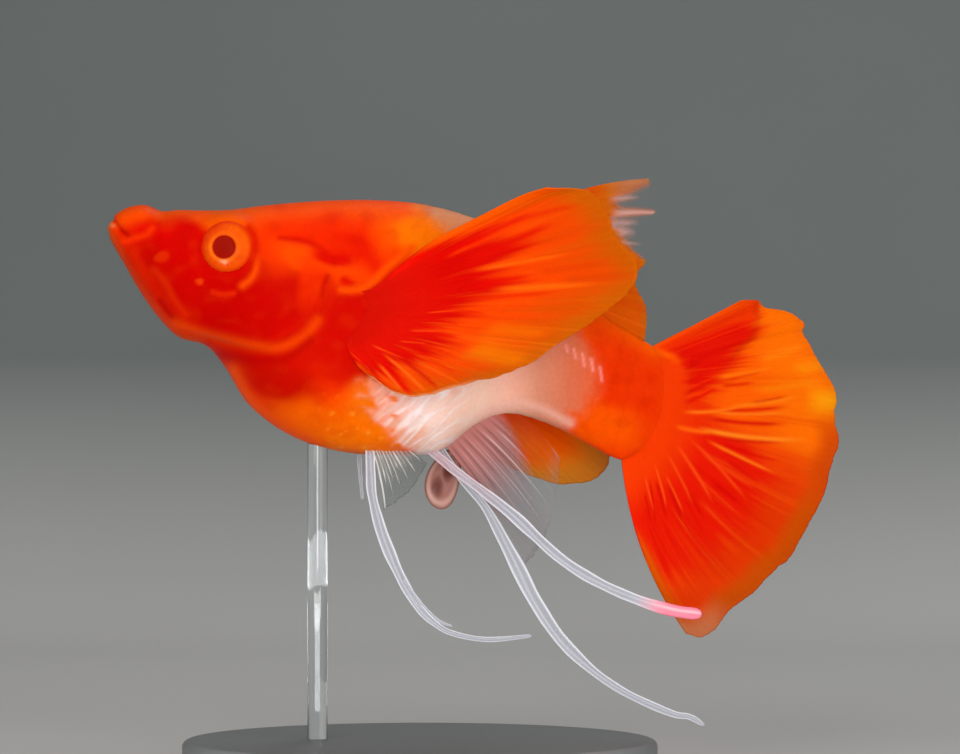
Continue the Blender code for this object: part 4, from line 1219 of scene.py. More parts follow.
def red_fin_tint(u, v, rays_up, red_reach, rays, seed, root="#D20000", red="#DA0200", middle="#F04400",
                 outer="#E25400", edge="#C86A08", edge_from=0.9):
    """red_reach gives, from the first ray to the last, how far out the red runs."""
    reach = spaced(u, red_reach) + 0.1 * streaks(u, rays * 2, seed) + 0.07 * streaks(u, rays * 6, seed + 5)
    edge_line = edge_from + 0.04 * streaks(u, rays * 2, seed + 1)
    dark = smoothstep(0.1, 0.8, streaks(u, rays * 4, seed + 2)) * (1 - 0.6 * rays_up)
    light = smoothstep(0.1, 0.8, streaks(u, rays * 4, seed + 3)) * rays_up
    return layered(
        root,
        (red, smoothstep(0.1, 0.35, v)),
        (middle, smoothstep(reach - 0.08, reach + 0.1, v)),
        (outer, smoothstep(reach + 0.1, reach + 0.45, v)),
        (edge, 0.85 * smoothstep(edge_line, edge_line + 0.14, v)),
        ("#CC0000", 0.3 * dark * smoothstep(0.2, 0.35, v) * smoothstep(0.9, 0.6, v)),
        ("#FF7A10", 0.3 * light * smoothstep(0.3, 0.5, v)))


def red_fin_body(u, v, rays_up, seed, clear_from=0.88, least=0.8):
    """How solid the fin looks: full at the root, thinner between the rays towards the margin."""
    thin = smoothstep(clear_from, 1.02, v + 0.03 * streaks(u, 30, seed))
    return 1 - thin * (1 - least) * (1 - 0.5 * rays_up)


def draw_streaks(tint, u, v, strokes):
    """Strokes of u, v at the start, u, v at the end, half width in u, hex colour and strength."""
    for u0, v0, u1, v1, half_width, colour, strength in strokes:
        share = np.clip((v - v0) / (v1 - v0), 0.0, 1.0)
        faded = smoothstep(0.0, 0.25, share) * smoothstep(1.0, 0.7, share)
        across = np.exp(-((u - u0 - (u1 - u0) * share) / (half_width * (1.25 - 0.7 * share))) ** 2)
        tint = layered(tint, (colour, strength * across * faded))
    return tint


print("how solid a red fin's margin is between two rays:", red_fin_body(0.5, 1.0, 0.0, 12).round(2))

# %% [markdown]
# ### Fin material
# The membrane is collagen, two cells thick, with pigment in it. Light passes through, so it gets strong
# scattering for its thickness, and the margin lets the background through by its alpha. The rays are
# bone, stiffer and a little shinier.

# %% Fin materials


def fin_material(name, roughness, scatter, shine):
    """A membrane: its colour and how solid it looks are stored on the piece, and fine grain roughens it."""
    made, tree, shader = new_material(name, {
        "Roughness": roughness, "Specular IOR Level": 0.16, "Specular Tint": rgba(shine),
        "Subsurface Weight": scatter, "Subsurface Radius": (1.0, 0.35, 0.15), "Subsurface Scale": 0.5 * MM})
    grained, grain, _ = grained_pigment(tree, 0.25, 3.0, {"Value": 0.9})
    solidity = node(tree, "ShaderNodeAttribute", attribute_name="Body")
    bump = node(tree, "ShaderNodeBump", {"Strength": 0.1, "Distance": 0.02 * MM}, {"Height": (grain, "Fac")})
    feed(tree, shader, {"Base Color": (grained, "Result"), "Alpha": (solidity, "Fac"),
                        "Normal": (bump, "Normal")})
    return made


red_fin_paint = fin_material("red fin membrane", 0.5, 0.3, "#FF8C50")
clear_fin_paint = fin_material("clear fin membrane", 0.35, 0.0, "#FFFFFF")
print("made", red_fin_paint.name, "and", clear_fin_paint.name)

# %% [markdown]
# ### The pectoral fins
# In this strain the pectorals are as long as the trunk, like ears. The left one is raised towards the
# camera and the right one lowered behind the tail stalk, as the fish sculls. Both grow from the same
# short root, and run level for a few millimetres before they fan out, which the bend of the rays gives.

# %% Outline of the pectoral fins

PECTORAL_RAYS = 14
PECTORAL_ROOT = ((-6.6, 38.9), (-6.4, 37.7), (-6.2, 36.5), (-6.0, 35.3))
PECTORAL_MARGIN_LEFT = (
    (10.2, 47.2), (13.7, 47.0), (15.2, 45.2), (15.8, 43.2), (17.4, 41.3), (17.2, 39.2), (15.6, 37.6),
    (13.4, 36.1), (11.2, 34.6), (8.6, 32.6), (5.4, 31.6), (2.6, 30.9), (0.4, 30.2), (-1.8, 30.6),
    (-3.8, 32.0),
)
PECTORAL_MARGIN_RIGHT = (
    (10.6, 38.4), (13.4, 35.8), (15.0, 32.6), (15.9, 29.2), (15.6, 26.2), (14.8, 24.1), (12.0, 23.3),
    (9.4, 23.8), (6.8, 24.9), (4.0, 26.2), (1.2, 27.6), (-1.4, 29.4), (-3.4, 31.4),
)
PECTORAL_TOP = (  # share of the first ray's length, and how far its edge rises over the straight line there
    (0.0, 0.0), (0.05, -0.55), (0.11, -0.95), (0.17, -1.0), (0.23, -0.66), (0.29, -0.34), (0.37, 0.0),
    (0.49, 0.28), (0.68, 0.34), (0.88, 0.34), (1.0, 0.0),
)


def pectoral_bend(u, v):
    edge = even_curve(PECTORAL_TOP, 120)
    return np.interp(v, edge[:, 0], edge[:, 1]) * (1 - u) ** 2 - 0.5 * u * 4 * v * (1 - v)


print("the left pectoral reaches", PECTORAL_MARGIN_LEFT[4][0] - PECTORAL_ROOT[0][0], "mm behind its root")

# %% [markdown]
# The fin's streaks were read one by one: red ones where pigment runs far out, orange ones where light
# shines between them, and one painted highlight under the upper edge. Each is a place at its start and at
# its end, a half width, a colour and a strength.

# %% Streaks of the pectoral fins
# each streak: u, v at its start, u, v at its end, half width in u, hex colour, strength

PECTORAL_RED = (0.4, 0.66, 0.64, 0.58, 0.45, 0.46, 0.5, 0.54, 0.58, 0.62, 0.55)
PECTORAL_STREAKS = (
    # the first streak is a painted highlight just under the upper edge
    (0.02, 0.2, 0.06, 0.5, 0.03, "#F00400", 0.6), (0.11, 0.34, 0.122, 0.6, 0.022, "#DC0000", 0.9),
    (0.108, 0.48, 0.1, 0.8, 0.013, "#DC0400", 0.85), (0.1, 0.68, 0.13, 0.95, 0.01, "#E01C00", 0.6),
    (0.178, 0.46, 0.145, 0.84, 0.014, "#DC0400", 0.85), (0.288, 0.42, 0.282, 0.68, 0.01, "#DC0000", 0.85),
    (0.24, 0.4, 0.235, 0.58, 0.008, "#D60000", 0.7), (0.132, 0.4, 0.122, 0.68, 0.007, "#FA3800", 0.7),
    (0.222, 0.48, 0.238, 0.84, 0.007, "#FF6A08", 0.7), (0.312, 0.5, 0.328, 0.9, 0.008, "#FF6C08", 0.75),
    (0.075, 0.45, 0.07, 0.8, 0.007, "#F84000", 0.6), (0.308, 0.72, 0.315, 1.02, 0.012, "#D43C00", 0.6),
    (0.275, 0.64, 0.282, 0.95, 0.01, "#D83800", 0.6), (0.342, 0.4, 0.342, 0.78, 0.009, "#E01C00", 0.7),
    (0.19, 0.7, 0.18, 1.02, 0.012, "#D44000", 0.5), (0.4, 0.36, 0.42, 0.56, 0.01, "#DC0400", 0.7),
    (0.47, 0.36, 0.5, 0.52, 0.01, "#DC0400", 0.7), (0.55, 0.36, 0.566, 0.58, 0.012, "#DE0000", 0.8),
    (0.415, 0.32, 0.398, 0.46, 0.005, "#FA4810", 0.7), (0.565, 0.32, 0.54, 0.48, 0.005, "#FA4810", 0.7),
    (0.658, 0.33, 0.618, 0.47, 0.005, "#FA4A10", 0.7), (0.778, 0.24, 0.758, 0.52, 0.006, "#F8480C", 0.7),
    (0.715, 0.38, 0.69, 0.58, 0.012, "#DE0400", 0.8), (0.63, 0.38, 0.66, 0.72, 0.008, "#E02000", 0.6),
    (0.76, 0.4, 0.822, 1.02, 0.008, "#CC1000", 0.9), (0.7, 0.5, 0.73, 0.85, 0.008, "#DC2400", 0.6),
    (0.825, 0.34, 0.892, 1.04, 0.019, "#DA0000", 0.95), (0.852, 0.42, 0.893, 0.92, 0.006, "#FA6A18", 0.8),
    (0.79, 0.35, 0.85, 1.02, 0.006, "#FF6A10", 0.8), (0.735, 0.5, 0.77, 1.02, 0.006, "#F86408", 0.7),
    (0.93, 0.3, 0.945, 0.95, 0.014, "#D80400", 0.8), (0.99, 0.3, 0.92, 0.6, 0.008, "#EC5418", 0.6),
    (0.5, 0.6, 0.52, 0.94, 0.03, "#F06A00", 0.6), (0.6, 0.62, 0.62, 1.02, 0.04, "#E87400", 0.8),
)

print(len(PECTORAL_STREAKS), "streaks on a pectoral")

# %% [markdown]
# The left fin leans out towards the camera. Its upper edge is bright where it is folded, and its lower
# margin pale and ragged.

# %% Left pectoral fin

places, u, v, rays_up = fin_grid(
    with_depth(PECTORAL_ROOT, (-4.4, -4.7, -4.7)),
    with_depth(PECTORAL_MARGIN_LEFT, (-11.2, -12.6, -12.4, -10.6, -9.4, -7.4)),
    PECTORAL_RAYS, 84, pectoral_bend, 0.35, 2.5, seed=11, pleat=0.06, lift=1.5,
    ragged=(0.02, 0.02, 0.02, 0.02, 0.02, 0.03, 0.06, 0.1, 0.1, 0.06))
places = hugging(places, v, -1)
tint = red_fin_tint(u, v, rays_up, PECTORAL_RED, PECTORAL_RAYS, 11, root="#C60000", red="#D40200",
                    outer="#D24C00", edge="#C45C02", edge_from=0.86)
tint = layered(
    draw_streaks(tint, u, v, PECTORAL_STREAKS),
    ("#FA5A00", 0.9 * smoothstep(0.06, 0.015, u) * smoothstep(0.36, 0.55, v)),
    ("#F8A070", 0.6 * smoothstep(0.95, 1.0, v) * smoothstep(0.7, 0.8, u)))
solidity = red_fin_body(u, v, rays_up, 12, 0.9, 0.88)
fin_piece("pectoral_left", places, thinning(v), tint, solidity, red_fin_paint, "fin_orange",
          "fin_pectoral_left")

# %% [markdown]
# The right fin is the same fin with its own pose and its own margin, a little more orange as light comes
# through it.

# %% Right pectoral fin

places, u, v, rays_up = fin_grid(
    with_depth(PECTORAL_ROOT, (4.4, 4.7, 4.7)),
    with_depth(PECTORAL_MARGIN_RIGHT, (12.6, 12.2, 10.6, 8.6, 7.2)),
    PECTORAL_RAYS, 84, simple_bend(1.2, -0.4), -0.35, 2.5, seed=21, pleat=0.06, lift=1.5)
places = hugging(places, v, 1)
tint = red_fin_tint(u, v, rays_up, PECTORAL_RED, PECTORAL_RAYS, seed=21, middle="#FA5000", outer="#FF6600",
                    edge="#D88A20", edge_from=0.82)
tint = draw_streaks(tint, u, v, PECTORAL_STREAKS)
solidity = red_fin_body(u, v, rays_up, 22, 0.85, 0.8)
fin_piece("pectoral_right", places, thinning(v), tint, solidity, red_fin_paint, "fin_orange",
          "fin_pectoral_right")

# %% [markdown]
# ### The tail fan
# The fan is broad and nearly round, with a wavy margin. Its upper rays are folded over, so a panel of it
# lies a little nearer. Its root is the sleeve over the stalk.

# %% Shape of the tail fan

CAUDAL_RAYS = 18
CAUDAL_ROOT = ((18.3, 34.3), (18.8, 32.6), (18.7, 29.6), (17.6, 27.2), (16.1, 25.8))
CAUDAL_MARGIN = (
    (25.8, 38.2), (27.1, 38.2), (27.7, 37.6), (29.5, 37.3), (30.9, 36.35), (30.75, 35.6), (31.5, 34.2),
    (32.6, 32.2), (33.35, 30.6), (33.3, 28.8), (33.7, 26.6), (33.1, 24.8), (32.3, 22.2), (31.2, 19.9),
    (29.8, 17.4), (28.5, 16.4), (26.5, 14.4), (24.9, 13.4), (24.1, 12.3), (22.8, 11.1), (21.4, 11.3),
)


def fan_bend(u, v):
    return (0.5 * (1 - u) - 0.5 * (1 - u) ** 8 - 1.1 * u) * 4 * v * (1 - v)


places, u, v, rays_up = fin_grid(
    with_depth(CAUDAL_ROOT, (1.2, 1.45, 1.2)), with_depth(CAUDAL_MARGIN, (2.6, 4.4, 5.0, 4.4, 2.6)),
    CAUDAL_RAYS, 110, fan_bend, 0.5, 3.0, seed=31, pleat=0.09)
places, half = sleeve(places, v)
panel_edge = 0.285 - 0.235 * (v - 0.3) / 0.67  # u at which the folded panel ends
places[..., 1] -= 0.35 * smoothstep(panel_edge + 0.01, panel_edge - 0.02, u) * smoothstep(0.25, 0.6, v)
print("the fan is", np.ptp(places[..., 2]).round(1), "mm high")

# %% [markdown]
# The folded panel is dark red, and its end is drawn out in streaks. Behind it the middle is the brightest
# orange of the fish, with painted highlights along two ridges and painted shade in the furrows beside them.
# The lower lobe is red again, with a thin brownish tip.

# %% Colours of the tail fan

CAUDAL_RED = (0.7, 0.7, 0.6, 0.3, 0.26, 0.5, 0.72, 0.74, 0.74, 0.76, 0.74, 0.7)
CAUDAL_STREAKS = (
    (0.418, 0.14, 0.318, 0.34, 0.012, "#DC0600", 0.9), (0.365, 0.14, 0.28, 0.34, 0.012, "#D80400", 0.9),
    (0.3, 0.16, 0.235, 0.36, 0.012, "#DA0400", 0.8), (0.23, 0.16, 0.185, 0.36, 0.01, "#D60200", 0.8),
    (0.39, 0.13, 0.298, 0.38, 0.007, "#FA3C00", 0.6), (0.335, 0.15, 0.258, 0.4, 0.006, "#F83000", 0.5),
    (0.29, 0.38, 0.263, 0.66, 0.006, "#DC1800", 0.85), (0.318, 0.34, 0.3, 0.58, 0.008, "#DE1C00", 0.85),
    (0.415, 0.3, 0.362, 0.76, 0.007, "#D80000", 0.9), (0.372, 0.5, 0.337, 0.74, 0.005, "#CC1000", 0.85),
    (0.46, 0.24, 0.409, 0.75, 0.009, "#D20000", 0.95), (0.517, 0.34, 0.457, 0.74, 0.007, "#D00000", 0.95),
    (0.532, 0.35, 0.518, 0.6, 0.008, "#D60000", 0.9), (0.53, 0.42, 0.513, 0.74, 0.005, "#D60400", 0.85),
    (0.555, 0.4, 0.548, 0.64, 0.007, "#D80400", 0.8), (0.573, 0.43, 0.588, 0.68, 0.008, "#D40000", 0.85),
    (0.61, 0.42, 0.63, 0.7, 0.01, "#DA0600", 0.7), (0.66, 0.42, 0.663, 0.64, 0.011, "#D40000", 0.85),
    (0.7, 0.4, 0.716, 0.66, 0.008, "#DA0400", 0.7), (0.74, 0.34, 0.772, 0.56, 0.007, "#D20000", 0.9),
    (0.77, 0.37, 0.799, 0.62, 0.006, "#D60000", 0.75), (0.786, 0.26, 0.83, 0.48, 0.008, "#D00000", 0.95),
    (0.828, 0.2, 0.876, 0.45, 0.008, "#CE0000", 0.95), (0.85, 0.18, 0.924, 0.43, 0.006, "#D00000", 0.95),
    (0.906, 0.22, 0.93, 0.39, 0.006, "#CE0000", 0.9), (0.885, 0.4, 0.903, 0.68, 0.01, "#DA0600", 0.6),
    (0.467, 0.13, 0.368, 0.52, 0.008, "#FF7410", 0.9), (0.388, 0.4, 0.333, 0.84, 0.006, "#FF8010", 0.7),
    (0.557, 0.12, 0.498, 0.36, 0.011, "#FF6608", 0.85), (0.512, 0.22, 0.438, 0.86, 0.008, "#FF8418", 0.95),
    (0.428, 0.28, 0.376, 0.78, 0.005, "#FF7814", 0.85), (0.541, 0.3, 0.547, 0.74, 0.005, "#FF7010", 0.85),
    (0.283, 0.32, 0.256, 0.74, 0.007, "#FF7408", 0.8), (0.33, 0.5, 0.3, 0.98, 0.01, "#FF8408", 0.5),
    (0.235, 0.62, 0.21, 1.0, 0.012, "#FF8008", 0.5), (0.63, 0.16, 0.717, 0.52, 0.008, "#F84C10", 0.75),
    (0.566, 0.2, 0.652, 0.68, 0.006, "#F8480C", 0.7), (0.79, 0.14, 0.853, 0.38, 0.005, "#FC5610", 0.8),
    (0.773, 0.22, 0.809, 0.46, 0.005, "#F85010", 0.7), (0.736, 0.44, 0.743, 0.74, 0.005, "#F03C0C", 0.6),
    (0.7, 0.14, 0.767, 0.46, 0.006, "#F85010", 0.6), (0.87, 0.15, 0.902, 0.36, 0.004, "#FC5614", 0.7),
    (0.6, 0.3, 0.606, 0.66, 0.005, "#F0440C", 0.6), (0.68, 0.3, 0.692, 0.7, 0.005, "#F0400C", 0.5),
    (0.345, 0.8, 0.35, 1.3, 0.026, "#FF9C08", 0.8), (0.27, 0.78, 0.25, 1.2, 0.014, "#FF9008", 0.5),
)


tint = red_fin_tint(u, v, rays_up, CAUDAL_RED, CAUDAL_RAYS, 31, root="#EE3800", red="#E01000",
                    middle="#EC3E00", outer="#E05200", edge="#BC5208", edge_from=0.88)
bright = smoothstep(0.52, 0.42, u)
outer_half = smoothstep(0.4, 0.65, v) * smoothstep(1.0, 0.88, v)
light = smoothstep(0.2, 0.7, streaks(u, 80, 37)) * (0.1 + 0.2 * bright)
panel_end = np.interp(u, (0.0, 0.06, 0.195, 0.322, 0.42), (1.1, 0.96, 0.565, 0.3, 0.15))
panel_end = panel_end + 0.12 * streaks(u, 90, 38) * smoothstep(0.06, 0.16, u)
panel_soft = np.interp(u, (0.04, 0.16), (0.035, 0.12))
panel_start = v - 0.4 * u + 0.07 * streaks(u, 60, 40)
panel = smoothstep(panel_end + panel_soft, panel_end - panel_soft, v) * smoothstep(0.02, 0.15, panel_start)
tint = layered(
    tint,
    ("#FC5C00", 0.9 * bright * smoothstep(0.2, 0.42, v)),
    ("#FF6E00", 0.7 * bright * smoothstep(0.55, 0.8, v)),
    ("#D42C00", 0.75 * smoothstep(0.46, 0.6, u) * smoothstep(0.6, 0.82, v)),
    ("#E63800", 0.45 * smoothstep(0.2, 0.7, streaks(u, 90, 36)) * outer_half),
    ("#FF8010", light * outer_half),
    ("#CC4000", 0.85 * smoothstep(0.34, 0.44, u) * smoothstep(0.84, 0.95, v)),
    ("#BC4A00", 0.75 * smoothstep(0.52, 0.62, u) * smoothstep(0.84, 0.96, v)),
    ("#CC5400", 0.8 * smoothstep(0.955, 0.99, u) * smoothstep(0.35, 0.6, v)),
    ("#EE2C00", 0.95 * panel),
    ("#D80000", 0.93 * panel * smoothstep(0.05, 0.12, u) * smoothstep(0.86, 0.6, v)),
    ("#F83800", 0.4 * panel * smoothstep(0.2, 0.7, streaks(u, 70, 39))),
    ("#F84C00", 0.8 * smoothstep(0.05, 0.01, u)))
tint = layered(
    draw_streaks(tint, u, v, CAUDAL_STREAKS),
    ("#FF5E00", 0.8 * np.exp(-((u - 1.1 * v) / 0.045) ** 2) * smoothstep(0.19, 0.1, v)),
    ("#B46C48", 0.85 * smoothstep(0.84, 0.97, v) * smoothstep(0.86, 0.95, u)))
solidity = red_fin_body(u, v, rays_up, 32, 0.92, 0.85)
fin_piece("tail_fan", places, np.maximum(thinning(v, 0.36, 5.0), 2 * half), tint, solidity, red_fin_paint,
          "fin_orange", "fin_caudal")

# %% [markdown]
# ### The dorsal fin
# It starts at the highest place of the back and sweeps up and back behind the pectoral. Its upper rays
# lose their pigment before their tips and stand apart there as pale bristles, with nothing between them.

# %% Dorsal fin

DORSAL_RAYS = 10
DORSAL_ROOT = ((5.3, 43.2), (8.3, 41.3), (11.4, 38.5))
DORSAL_MARGIN = (
    (18.7, 47.9), (19.1, 45.7), (18.4, 44.0), (18.7, 41.9), (17.3, 39.8), (18.2, 37.4), (18.1, 34.8),
)
# u, and the v from which the rays are bare there
DORSAL_BARE = ((0.0, 0.1, 0.2, 0.33, 0.42, 0.48, 0.53), (0.8, 0.75, 0.71, 0.75, 0.8, 0.89, 1.1))
BRISTLES = (  # place across the fin, where it ends, half width, how solid
    (0.105, 0.93, 0.018, 0.5), (0.2, 1.1, 0.026, 0.85), (0.27, 0.95, 0.026, 0.4), (0.325, 0.93, 0.034, 0.5),
    (0.4, 0.95, 0.014, 0.3),
)
places, u, v, rays_up = fin_grid(
    with_depth(DORSAL_ROOT, (0.0, 0.1, 0.2)), with_depth(DORSAL_MARGIN, (1.6, 1.8, 1.2)),
    DORSAL_RAYS, 90, simple_bend(1.1, -0.1), 0.3, 1.0, seed=41, forks=1, ragged=0.03)
tint = red_fin_tint(u, v, rays_up, (0.3, 0.34, 0.36, 0.3, 0.3), DORSAL_RAYS, 41, root="#F24800",
                    red="#EC4C00", middle="#DE5000", outer="#D05200", edge="#C0640C")
bare_from = np.interp(u, *DORSAL_BARE) + 0.03 * streaks(u, 16, 44)
bare = smoothstep(bare_from - 0.03, bare_from + 0.06, v)
kept = smoothstep(0.125, 0.06, u + 0.36 * (v - 0.8)) * 0.85
tint = layered(
    tint,
    ("#CC3C00", 0.5 * smoothstep(0.6, 0.75, u) * smoothstep(0.3, 0.9, streaks(u, 30, 43))),
    ("#C66C10", 0.7 * smoothstep(bare_from - 0.14, bare_from, v) * smoothstep(0.62, 0.5, u)),
    ("#C47C50", smoothstep(0.12, 0.06, u + 0.3 * (v - 0.8)) * smoothstep(0.7, 0.9, v)))
for across, end, half_width, strength in BRISTLES:
    bristle = np.exp(-((u - across) / (half_width * (3.5 - 3.1 * v))) ** 2)
    kept = np.maximum(kept, strength * bristle * smoothstep(end, end - 0.14, v))
    tint = layered(tint, ("#D8A8A0", bare * bristle))
solidity = red_fin_body(u, v, rays_up, 42, 0.85, 0.85) * (1 - bare * (1 - kept))
fin_piece("dorsal", places, thinning(v), tint, solidity, red_fin_paint, "fin_orange", "fin_dorsal")

# %% [markdown]
# ### The clear fins
# The anal and pelvic fins have no orange at all. Their rays show as fine white lines, over a membrane
# that is mauve where blood reaches it and glassy at the margin. Two of the anal fin's rays and one of
# each pelvic fin go on growing in this strain, and become the ribbons.

# %% Drawn rays of the clear fins

ANAL_STREAKS = (
    (0.12, 0.05, 0.1, 0.8, 0.006, "#D0ACAE", 0.5), (0.19, 0.02, 0.22, 0.95, 0.007, "#D4B0B4", 0.5),
    (0.29, 0.02, 0.31, 0.8, 0.006, "#D4B4B8", 0.5), (0.335, 0.1, 0.36, 1.0, 0.005, "#DCC4C8", 0.6),
    (0.42, 0.1, 0.41, 0.9, 0.006, "#CCA8AC", 0.4), (0.49, 0.05, 0.53, 1.04, 0.008, "#E4D4D8", 0.7),
    (0.57, 0.15, 0.59, 1.0, 0.005, "#DCC8CC", 0.5), (0.64, 0.15, 0.655, 1.04, 0.007, "#E8DCE0", 0.7),
    (0.71, 0.1, 0.73, 0.9, 0.005, "#D8C4C4", 0.5), (0.79, 0.2, 0.8, 1.04, 0.007, "#E4D8DC", 0.65),
    (0.87, 0.15, 0.885, 1.0, 0.006, "#DCC8C8", 0.5), (0.985, 0.6, 0.985, 1.02, 0.01, "#E0D0D0", 0.6),
    (0.06, 0.0, 0.05, 0.5, 0.016, "#5C3436", 0.6), (0.16, 0.0, 0.165, 0.6, 0.014, "#6C3C3C", 0.6),
    (0.25, 0.0, 0.27, 0.5, 0.016, "#704040", 0.6), (0.38, 0.0, 0.4, 0.6, 0.016, "#7A4644", 0.55),
    (0.45, 0.0, 0.47, 0.7, 0.014, "#6C3A38", 0.6), (0.55, 0.0, 0.58, 0.75, 0.016, "#703C38", 0.6),
    (0.68, 0.0, 0.69, 0.7, 0.014, "#784038", 0.55), (0.76, 0.0, 0.77, 0.7, 0.014, "#804438", 0.5),
)
PELVIC_STREAKS = (
    (0.03, -0.2, 0.03, 1.2, 0.018, "#FFFFFF", 0.7), (0.14, -0.3, 0.12, 0.75, 0.013, "#FFFFFF", 0.6),
    (0.2, -0.3, 0.2, 0.95, 0.01, "#F0F0EC", 0.5), (0.3, -0.3, 0.27, 0.7, 0.013, "#F8F4F0", 0.6),
    (0.38, -0.3, 0.37, 0.9, 0.01, "#FFFFFF", 0.5), (0.48, -0.3, 0.45, 0.6, 0.013, "#F8F4F0", 0.6),
    (0.56, -0.3, 0.55, 0.9, 0.011, "#FFFFFF", 0.55), (0.66, -0.3, 0.65, 0.65, 0.012, "#F0ECE8", 0.5),
    (0.76, -0.3, 0.75, 0.95, 0.012, "#FFFFFF", 0.6), (0.85, -0.3, 0.86, 0.6, 0.01, "#F0ECE8", 0.45),
    (0.95, -0.3, 0.96, 0.9, 0.013, "#FFFFFF", 0.55),
)


def clear_fin_look(u, v, strokes, root, membrane, most, least, ray_solidity):
    """Tint and solidity of a clear fin: drawn rays over a membrane that fades from root to margin."""
    tint = layered(membrane, (root, smoothstep(0.75, 0.1, v)))
    painted = draw_streaks(tint, u, v, strokes)
    share = np.clip(np.abs(painted - tint).sum(axis=-1) * 1.6, 0.0, 1.0)
    solidity = most + (least - most) * smoothstep(0.1, 0.8, v)
    margin = 0.3 * smoothstep(0.96, 0.99, v)
    return painted, np.maximum(solidity, solidity + (ray_solidity - solidity) * np.maximum(share, margin))


print(len(ANAL_STREAKS), "rays and shades on the anal fin,", len(PELVIC_STREAKS), "on a pelvic fin")

# %% [markdown]
# The anal fin hangs in the mid plane. Its rear turns clear along a slanting line, so that the far
# pectoral shows through it.

# %% Anal fin

ANAL_RAYS = 12
ANAL_ROOT = ((1.8, 26.8), (4.3, 28.7), (6.6, 29.8))
ANAL_MARGIN = ((8.7, 16.7), (10.3, 19.4), (11.0, 22.4), (11.3, 25.3))
places, u, v, _ = fin_grid(
    with_depth(ANAL_ROOT, (0.0, 0.0)), with_depth(ANAL_MARGIN, (-0.2, 0.3, 0.5)),
    ANAL_RAYS, 70, simple_bend(0.25, 0.5), 0.25, 1.2, seed=51, forks=1, ragged=0.05, pleat=0.04)
tint, solidity = clear_fin_look(u, v, ANAL_STREAKS, "#B86E68", "#80767C", 0.88, 0.2, 0.62)
tint = layered(tint, ("#E8583C", 0.8 * smoothstep(0.72, 0.95, u) * smoothstep(0.5, 0.1, v)))
clear_from = 0.86 - 0.5 * v  # u at which the rear of the fin turns clear
glassy = (0.975 - 0.345 * smoothstep(0.75, 0.95, v)) * smoothstep(clear_from - 0.1, clear_from + 0.12, u)
fin_piece("anal_fin", places, thinning(v), tint, solidity * (1 - glassy), clear_fin_paint, "fin_clear",
          "fin_anal")

# %% [markdown]
# The two pelvic fins are small fans low on the belly, one the mirror image of the other.

# %% Pelvic fins

PELVIC_RAYS = 10
PELVIC_ROOT = ((-4.0, 26.5), (-2.6, 26.4), (-1.2, 26.4))
PELVIC_MARGIN = ((-2.9, 21.2), (-1.7, 22.0), (-0.5, 23.1), (0.0, 24.0), (0.6, 25.0))
for side, word in ((-1, "left"), (1, "right")):
    places, u, v, _ = fin_grid(
        with_depth(PELVIC_ROOT, (side * 1.5, side * 1.5)),
        with_depth(PELVIC_MARGIN, (side * 2.2, side * 2.7, side * 2.9)),
        PELVIC_RAYS, 48, simple_bend(0.2, 0.1), 0.0, 1.0, seed=61, forks=1, ragged=0.06)
    tint, solidity = clear_fin_look(u, v, PELVIC_STREAKS, "#A8A6A2", "#6E7470", 0.3, 0.16, 0.7)
    fin_piece("pelvic_fan_" + word, places, thinning(v), tint, solidity, clear_fin_paint, "fin_clear",
              "fin_pelvic_" + word)

# %% [markdown]
# ### The ribbons
# Each ribbon is one overgrown ray: two stiff white edges with a clear band between, like a tape. Its
# section is a flattened ring with thickened ends, carried along the ray's path and tapered to a tip.

# %% Paths of the ribbon rays
# name: path (x, z), depths along it, widths along it, and the solids that it stands for

RIBBONS = {
    "ribbon_pelvic_left": (
        ((-4.0, 26.6), (-3.95, 24.4), (-3.8, 22.4), (-3.0, 19.4), (-1.6, 16.1), (-0.2, 13.7), (1.1, 12.35),
         (2.6, 11.5), (5.4, 11.0), (9.0, 11.3)),
        (-1.6, -2.6, -3.6, -3.8, -3.0), (0.7, 0.8, 0.95, 0.85, 0.5, 0.42, 0.3),
        ("streamer_pelvic_left_1", "streamer_pelvic_left_2", "streamer_pelvic_left_3")),
    "ribbon_pelvic_branch": (
        ((-1.35, 15.75), (-0.6, 14.65), (0.5, 13.3), (1.6, 12.45), (2.6, 12.05)), (-3.7, -3.75, -3.7),
        (0.4, 0.4, 0.16), ()),
    "ribbon_pelvic_right": (
        ((-4.9, 26.5), (-4.8, 24.6), (-4.6, 22.2)), (1.5, 2.0, 2.4), (0.42, 0.24),
        ("streamer_pelvic_right",)),
    "ribbon_anal_front": (
        ((0.2, 26.7), (2.7, 24.6), (5.1, 22.8), (7.6, 20.8), (11.1, 17.6), (14.2, 15.6), (17.6, 14.1),
         (20.3, 13.3), (22.6, 13.0)),
        (-0.9, -1.7, -2.2, -2.6, -2.4), (0.7, 0.75, 0.95, 0.8, 0.85, 1.0),
        ("streamer_anal_front_1", "streamer_anal_front_2")),
    "ribbon_anal_rear": (
        ((1.2, 26.9), (3.3, 23.9), (5.2, 21.6), (6.6, 19.1), (7.9, 16.6), (9.2, 14.1), (11.2, 11.1),
         (13.6, 8.7), (16.0, 7.0), (18.4, 5.8), (20.4, 5.0), (21.6, 4.8), (22.8, 4.1)),
        (0.0, -0.1, -0.4, -0.7, -0.8), (0.5, 0.6, 0.9, 1.25, 1.0, 0.7, 0.6, 0.45),
        ("streamer_anal_rear_1", "streamer_anal_rear_2", "streamer_anal_rear_3")),
}
print(len(RIBBONS), "ribbons")

# %% [markdown]
# The section is swept with the path's direction ahead and the viewer's direction across, so the tape
# keeps its flat side towards the side view. Two slow waves keep its width from looking drawn with a
# ruler.

# %% A tape along a path

RIBBON_THICKNESS = 0.34
RIBBON_ROWS, RIBBON_AROUND = 160, 28
BLUNT_END = 0.035  # share of the length over which the tip is rounded


